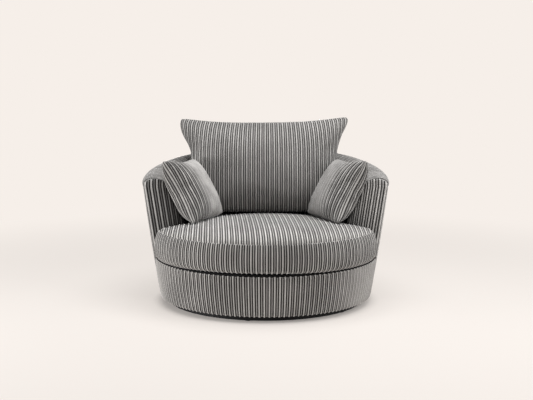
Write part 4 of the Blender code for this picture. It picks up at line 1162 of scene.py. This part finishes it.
def makeDeckPad():
    low, high = (float(corner[2]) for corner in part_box("deck_pad"))
    full = deckOutline(0.0)[:, None]
    small = deckOutline(deckPad["round"])[:, None]
    share = np.linspace(0.004, 1, deckPad["rows"])[None, :, None]
    flat = small * share
    sewn = np.exp(-((flat / deckPad["channel"] + 0.5) % 1.0 - 0.5) ** 2 / 0.006).sum(axis=-1)
    top = raised(flat, high - deckPad["sewn"] * held(sewn))
    sides = [raised(full, z) for z in (high - deckPad["round"], low + deckPad["round"])]
    points = np.concatenate([top, *sides, raised(small * share[:, ::-4], low)], axis=1)
    return makePiece("lined_deck_pad", [sweepShell(points, points[..., :2], 0, True, False)], [lining])


finishPiece(makeDeckPad(), "chair", "deck_pad")


# dust cover under the frame, stretched and stapled round its edge
dustCover = {"depth": 0.008, "hole": 0.152, "holePower": 8, "stations": 144, "rows": 10, "ripple": 0.0004,
             "waves": 7, "underGap": 0.0005, "aboveGap": 0.0004, "staples": 42, "stapleLong": 0.010,
             "stapleWide": 0.0012, "stapleIn": 0.011, "stapleTall": 0.0007}


def makeDustCover():
    own = dustCover
    low, high = (float(corner[2]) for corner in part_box("dust_cover"))
    turn = np.arange(own["stations"]) * math.tau / own["stations"]
    outer = drumPoint(np.degrees(turn), low, own["depth"])[:, :2]
    power = own["holePower"]
    radius = own["hole"] * (np.abs(np.cos(turn)) ** power + np.abs(np.sin(turn)) ** power) ** (-1 / power)
    inner = radius[:, None] * together(np.cos(turn), np.sin(turn))
    share = np.linspace(0, 1, own["rows"])
    flat = outer[:, None] + (inner - outer)[:, None] * share[None, :, None]
    ripple = own["ripple"] * np.sin(own["waves"] * turn)[:, None] * np.sin(math.pi * share) ** 2
    under = raised(flat, low + own["underGap"] + ripple)
    above = raised(flat, high - own["aboveGap"] + ripple)[:, ::-1]
    points = np.concatenate([under, above], axis=1)
    piece = makePiece("stapled_dust_cover", [sweepShell(points, points[..., :2], closedPath=True)], [lining])
    finishPiece(piece, "chair", "dust_cover")
    makeStaples(low)


def makeStaples(low):
    # flat bridges, each a thin box across the cover's edge
    own = dustCover
    turn = (np.arange(own["staples"]) + 0.5) * math.tau / own["staples"]
    middle = drumPoint(np.degrees(turn), low, own["depth"] + own["stapleIn"])
    along = together(-np.sin(turn), np.cos(turn), 0.0)
    inward = together(-np.cos(turn), -np.sin(turn), 0.0)
    corners = np.array([[a, b, c] for a in (-1, 1) for b in (-1, 1) for c in (0, 1)], float)
    points = middle[:, None] + along[:, None] * corners[None, :, :1] * own["stapleLong"] / 2
    points = points + inward[:, None] * corners[None, :, 1:2] * own["stapleWide"] / 2
    points[..., 2] += 0.0002 - own["stapleTall"] * (1 - corners[None, :, 2])
    box = np.array([[0, 1, 3, 2], [4, 6, 7, 5], [0, 4, 5, 1], [2, 3, 7, 6], [0, 2, 6, 4], [1, 5, 7, 3]])
    faces = (np.arange(own["staples"])[:, None, None] * 8 + box[None]).reshape(-1, 4)
    flat = points.reshape(-1, 3)
    piece = makePiece("dust_cover_staples", [shell(flat, flat[:, :2], [faces], 0)], [zincSteel])
    finishPiece(piece, "chair", None)
    return piece


makeDustCover()


# what the frame and the turntable are made of
def woodMaterial(name, light, dark, along, scale):
    # long drawn-out noise makes the grain, and a finer one the pores; along is the grain's axis
    material, tree, shader = startMaterial(name, light, 0.62)
    place = objectPlace(tree)
    stretch = tuple(0.06 if axis == along else 1.0 for axis in range(3))
    grain = noiseNode(tree, place, scale, 5.0, stretch)
    pores = noiseNode(tree, place, scale * 9, 2.0, stretch)
    colour = rampNode(tree, grain, [(0.35, dark), (0.5, light), (0.62, between(light, dark, 0.15))])
    fleck = rampNode(tree, pores, [(0.42, (0.80, 0.78, 0.75)), (0.56, (1.0, 1.0, 1.0))])
    tree.links.new(mixColour(tree, "MULTIPLY", 1.0, colour, fleck), shader.inputs["Base Color"])
    addBump(tree, shader, pores, 0.0003, 0.5)
    return material


pine = {"light": (0.52, 0.37, 0.22), "dark": (0.36, 0.235, 0.13), "scale": 26.0}
railTimber = woodMaterial("timberBack", along=1, **pine)
postTimber = woodMaterial("timberUp", along=2, **pine)
plywood = woodMaterial("plywood", (0.56, 0.42, 0.27), (0.42, 0.295, 0.175), 0, 18.0)
finishOfNode = {
    "floor_board": boardPaint, "glide": glidePlastic, "lower_bearing_plate": zincSteel,
    "upper_bearing_plate": zincSteel, "lower_bolt": zincSteel, "upper_bolt": zincSteel,
    "ball_ring": ballSteel, "base_ring": plywood, "deck_ring": plywood, "top_rail": plywood,
    "facing_board": plywood, "swivel_rail": railTimber, "tub_post": postTimber,
    "front_upright": postTimber, "zigzag_spring": springSteel,
}
for node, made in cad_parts.items():
    for start, material in finishOfNode.items():
        if node.startswith(start):
            made.data.materials.clear()
            made.data.materials.append(material)
print("frame finishes ready")


# stage, light and camera
stageSet = {
    "backdrop": (0.922, 0.863, 0.815),
    "floor": (0.70, 0.660, 0.626),
    "floorRadii": (1.0, 3.0, 6.0),
    "glowRings": ((0.49, 0.57, 0.25, 0.66), (1.2, 3.2, 0.0, 0.34)),   # start, end, and glow at each
    "worldLight": 0.14,
}
lamps = {
    # place, where it aims, size and power
    "overhead": ((0.3, -0.2, 3.4), (0, 0, 0.3), (2.4, 2.4), 120.0),
    "front": ((0.9, -4.2, 2.0), (0, 0, 0.4), (2.4, 1.6), 8.0),
    "side": ((2.4, -1.6, 2.6), (0, 0, 0.4), (1.6, 1.6), 43.0),
    "left": ((-3.0, -1.2, 0.5), (0, 0, 0.2), (1.4, 0.9), 82.0),
    "right": ((3.0, -1.2, 0.75), (0, 0, 0.25), (1.4, 1.4), 23.0),
}


def makeWorld():
    # plain white light, and the backdrop's colour for what the camera, gloss and glass see
    world = bpy.data.worlds.new("studio")
    bpy.context.scene.world = world
    world.use_nodes = True
    tree = world.node_tree
    light = tree.nodes["Background"]
    light.inputs["Color"].default_value = (1.0, 1.0, 1.0, 1.0)
    light.inputs["Strength"].default_value = stageSet["worldLight"]
    shown = addNode(tree, "Background", {"Color": stageSet["backdrop"]})
    path = addNode(tree, "LightPath").outputs
    seen = mathNode(tree, "MAXIMUM", path["Is Glossy Ray"], path["Is Transmission Ray"])
    seen = mathNode(tree, "MAXIMUM", path["Is Camera Ray"], seen)
    mix = addNode(tree, "MixShader", {0: seen, 1: light.outputs[0], 2: shown.outputs[0]})
    tree.links.new(mix.outputs[0], tree.nodes["World Output"].inputs["Surface"])


def makeFloor():
    # plain paper close to the chair, where its shadow lies, that fades into the backdrop further out
    turn = np.linspace(0, math.tau, 97)[:-1]
    rings = np.array(stageSet["floorRadii"])[:, None]
    points = together(rings * np.cos(turn), rings * np.sin(turn), 0.0).reshape(-1, 3)
    index = 1 + closedRing(np.arange(len(points)).reshape(len(rings), -1).T).T
    middle = together(0, index[0, :-1], index[0, 1:])
    mesh = bpy.data.meshes.new("floor")
    mesh.from_pydata([[0, 0, 0]] + points.tolist(), [], middle.tolist() + quadsOf(index).tolist())
    floor = addObject("floor", mesh)
    material, tree, shader = startMaterial("floorPaper", stageSet["floor"], 1.0, specular=0.0)
    length = addNode(tree, "VectorMath", {0: objectPlace(tree)}, operation="LENGTH").outputs["Value"]
    fade = mathNode(tree, "ADD", *(rangeNode(tree, length, *ring) for ring in stageSet["glowRings"]))
    glow = addNode(tree, "Emission", {"Color": stageSet["backdrop"]})
    mix = addNode(tree, "MixShader", {0: fade, 1: shader.outputs[0], 2: glow.outputs[0]})
    tree.links.new(mix.outputs[0], tree.nodes["Material Output"].inputs["Surface"])
    mesh.materials.append(material)


def addLamp(name, place, target, size, power):
    lamp = bpy.data.lights.new(name, "AREA")
    lamp.shape = "RECTANGLE"
    lamp.size, lamp.size_y = size
    lamp.energy = power
    holder = addObject(name, lamp)
    holder.location = place
    x, y, z = np.array(target) - np.array(place)
    holder.rotation_euler = (math.atan2(math.hypot(x, y), -z), 0, math.atan2(y, x) - math.pi / 2)


def makeCamera():
    # the photo's view, solved from the ellipses of the hem, the gap over the drum and the seat's seam
    lens = bpy.data.cameras.new("photoView")
    lens.lens = 69.1
    lens.sensor_width = 36.0
    lens.dof.use_dof = False
    camera = addObject("photoView", lens)
    camera.location = (0.004, -5.0, 1.157)
    camera.rotation_euler = (math.radians(90 - 7.57), 0, 0)
    bpy.context.scene.camera = camera


makeWorld()
makeFloor()
for name, own in lamps.items():
    addLamp(name, *own)
makeCamera()
bpy.context.scene.view_settings.view_transform = "Standard"
print("stage ready")
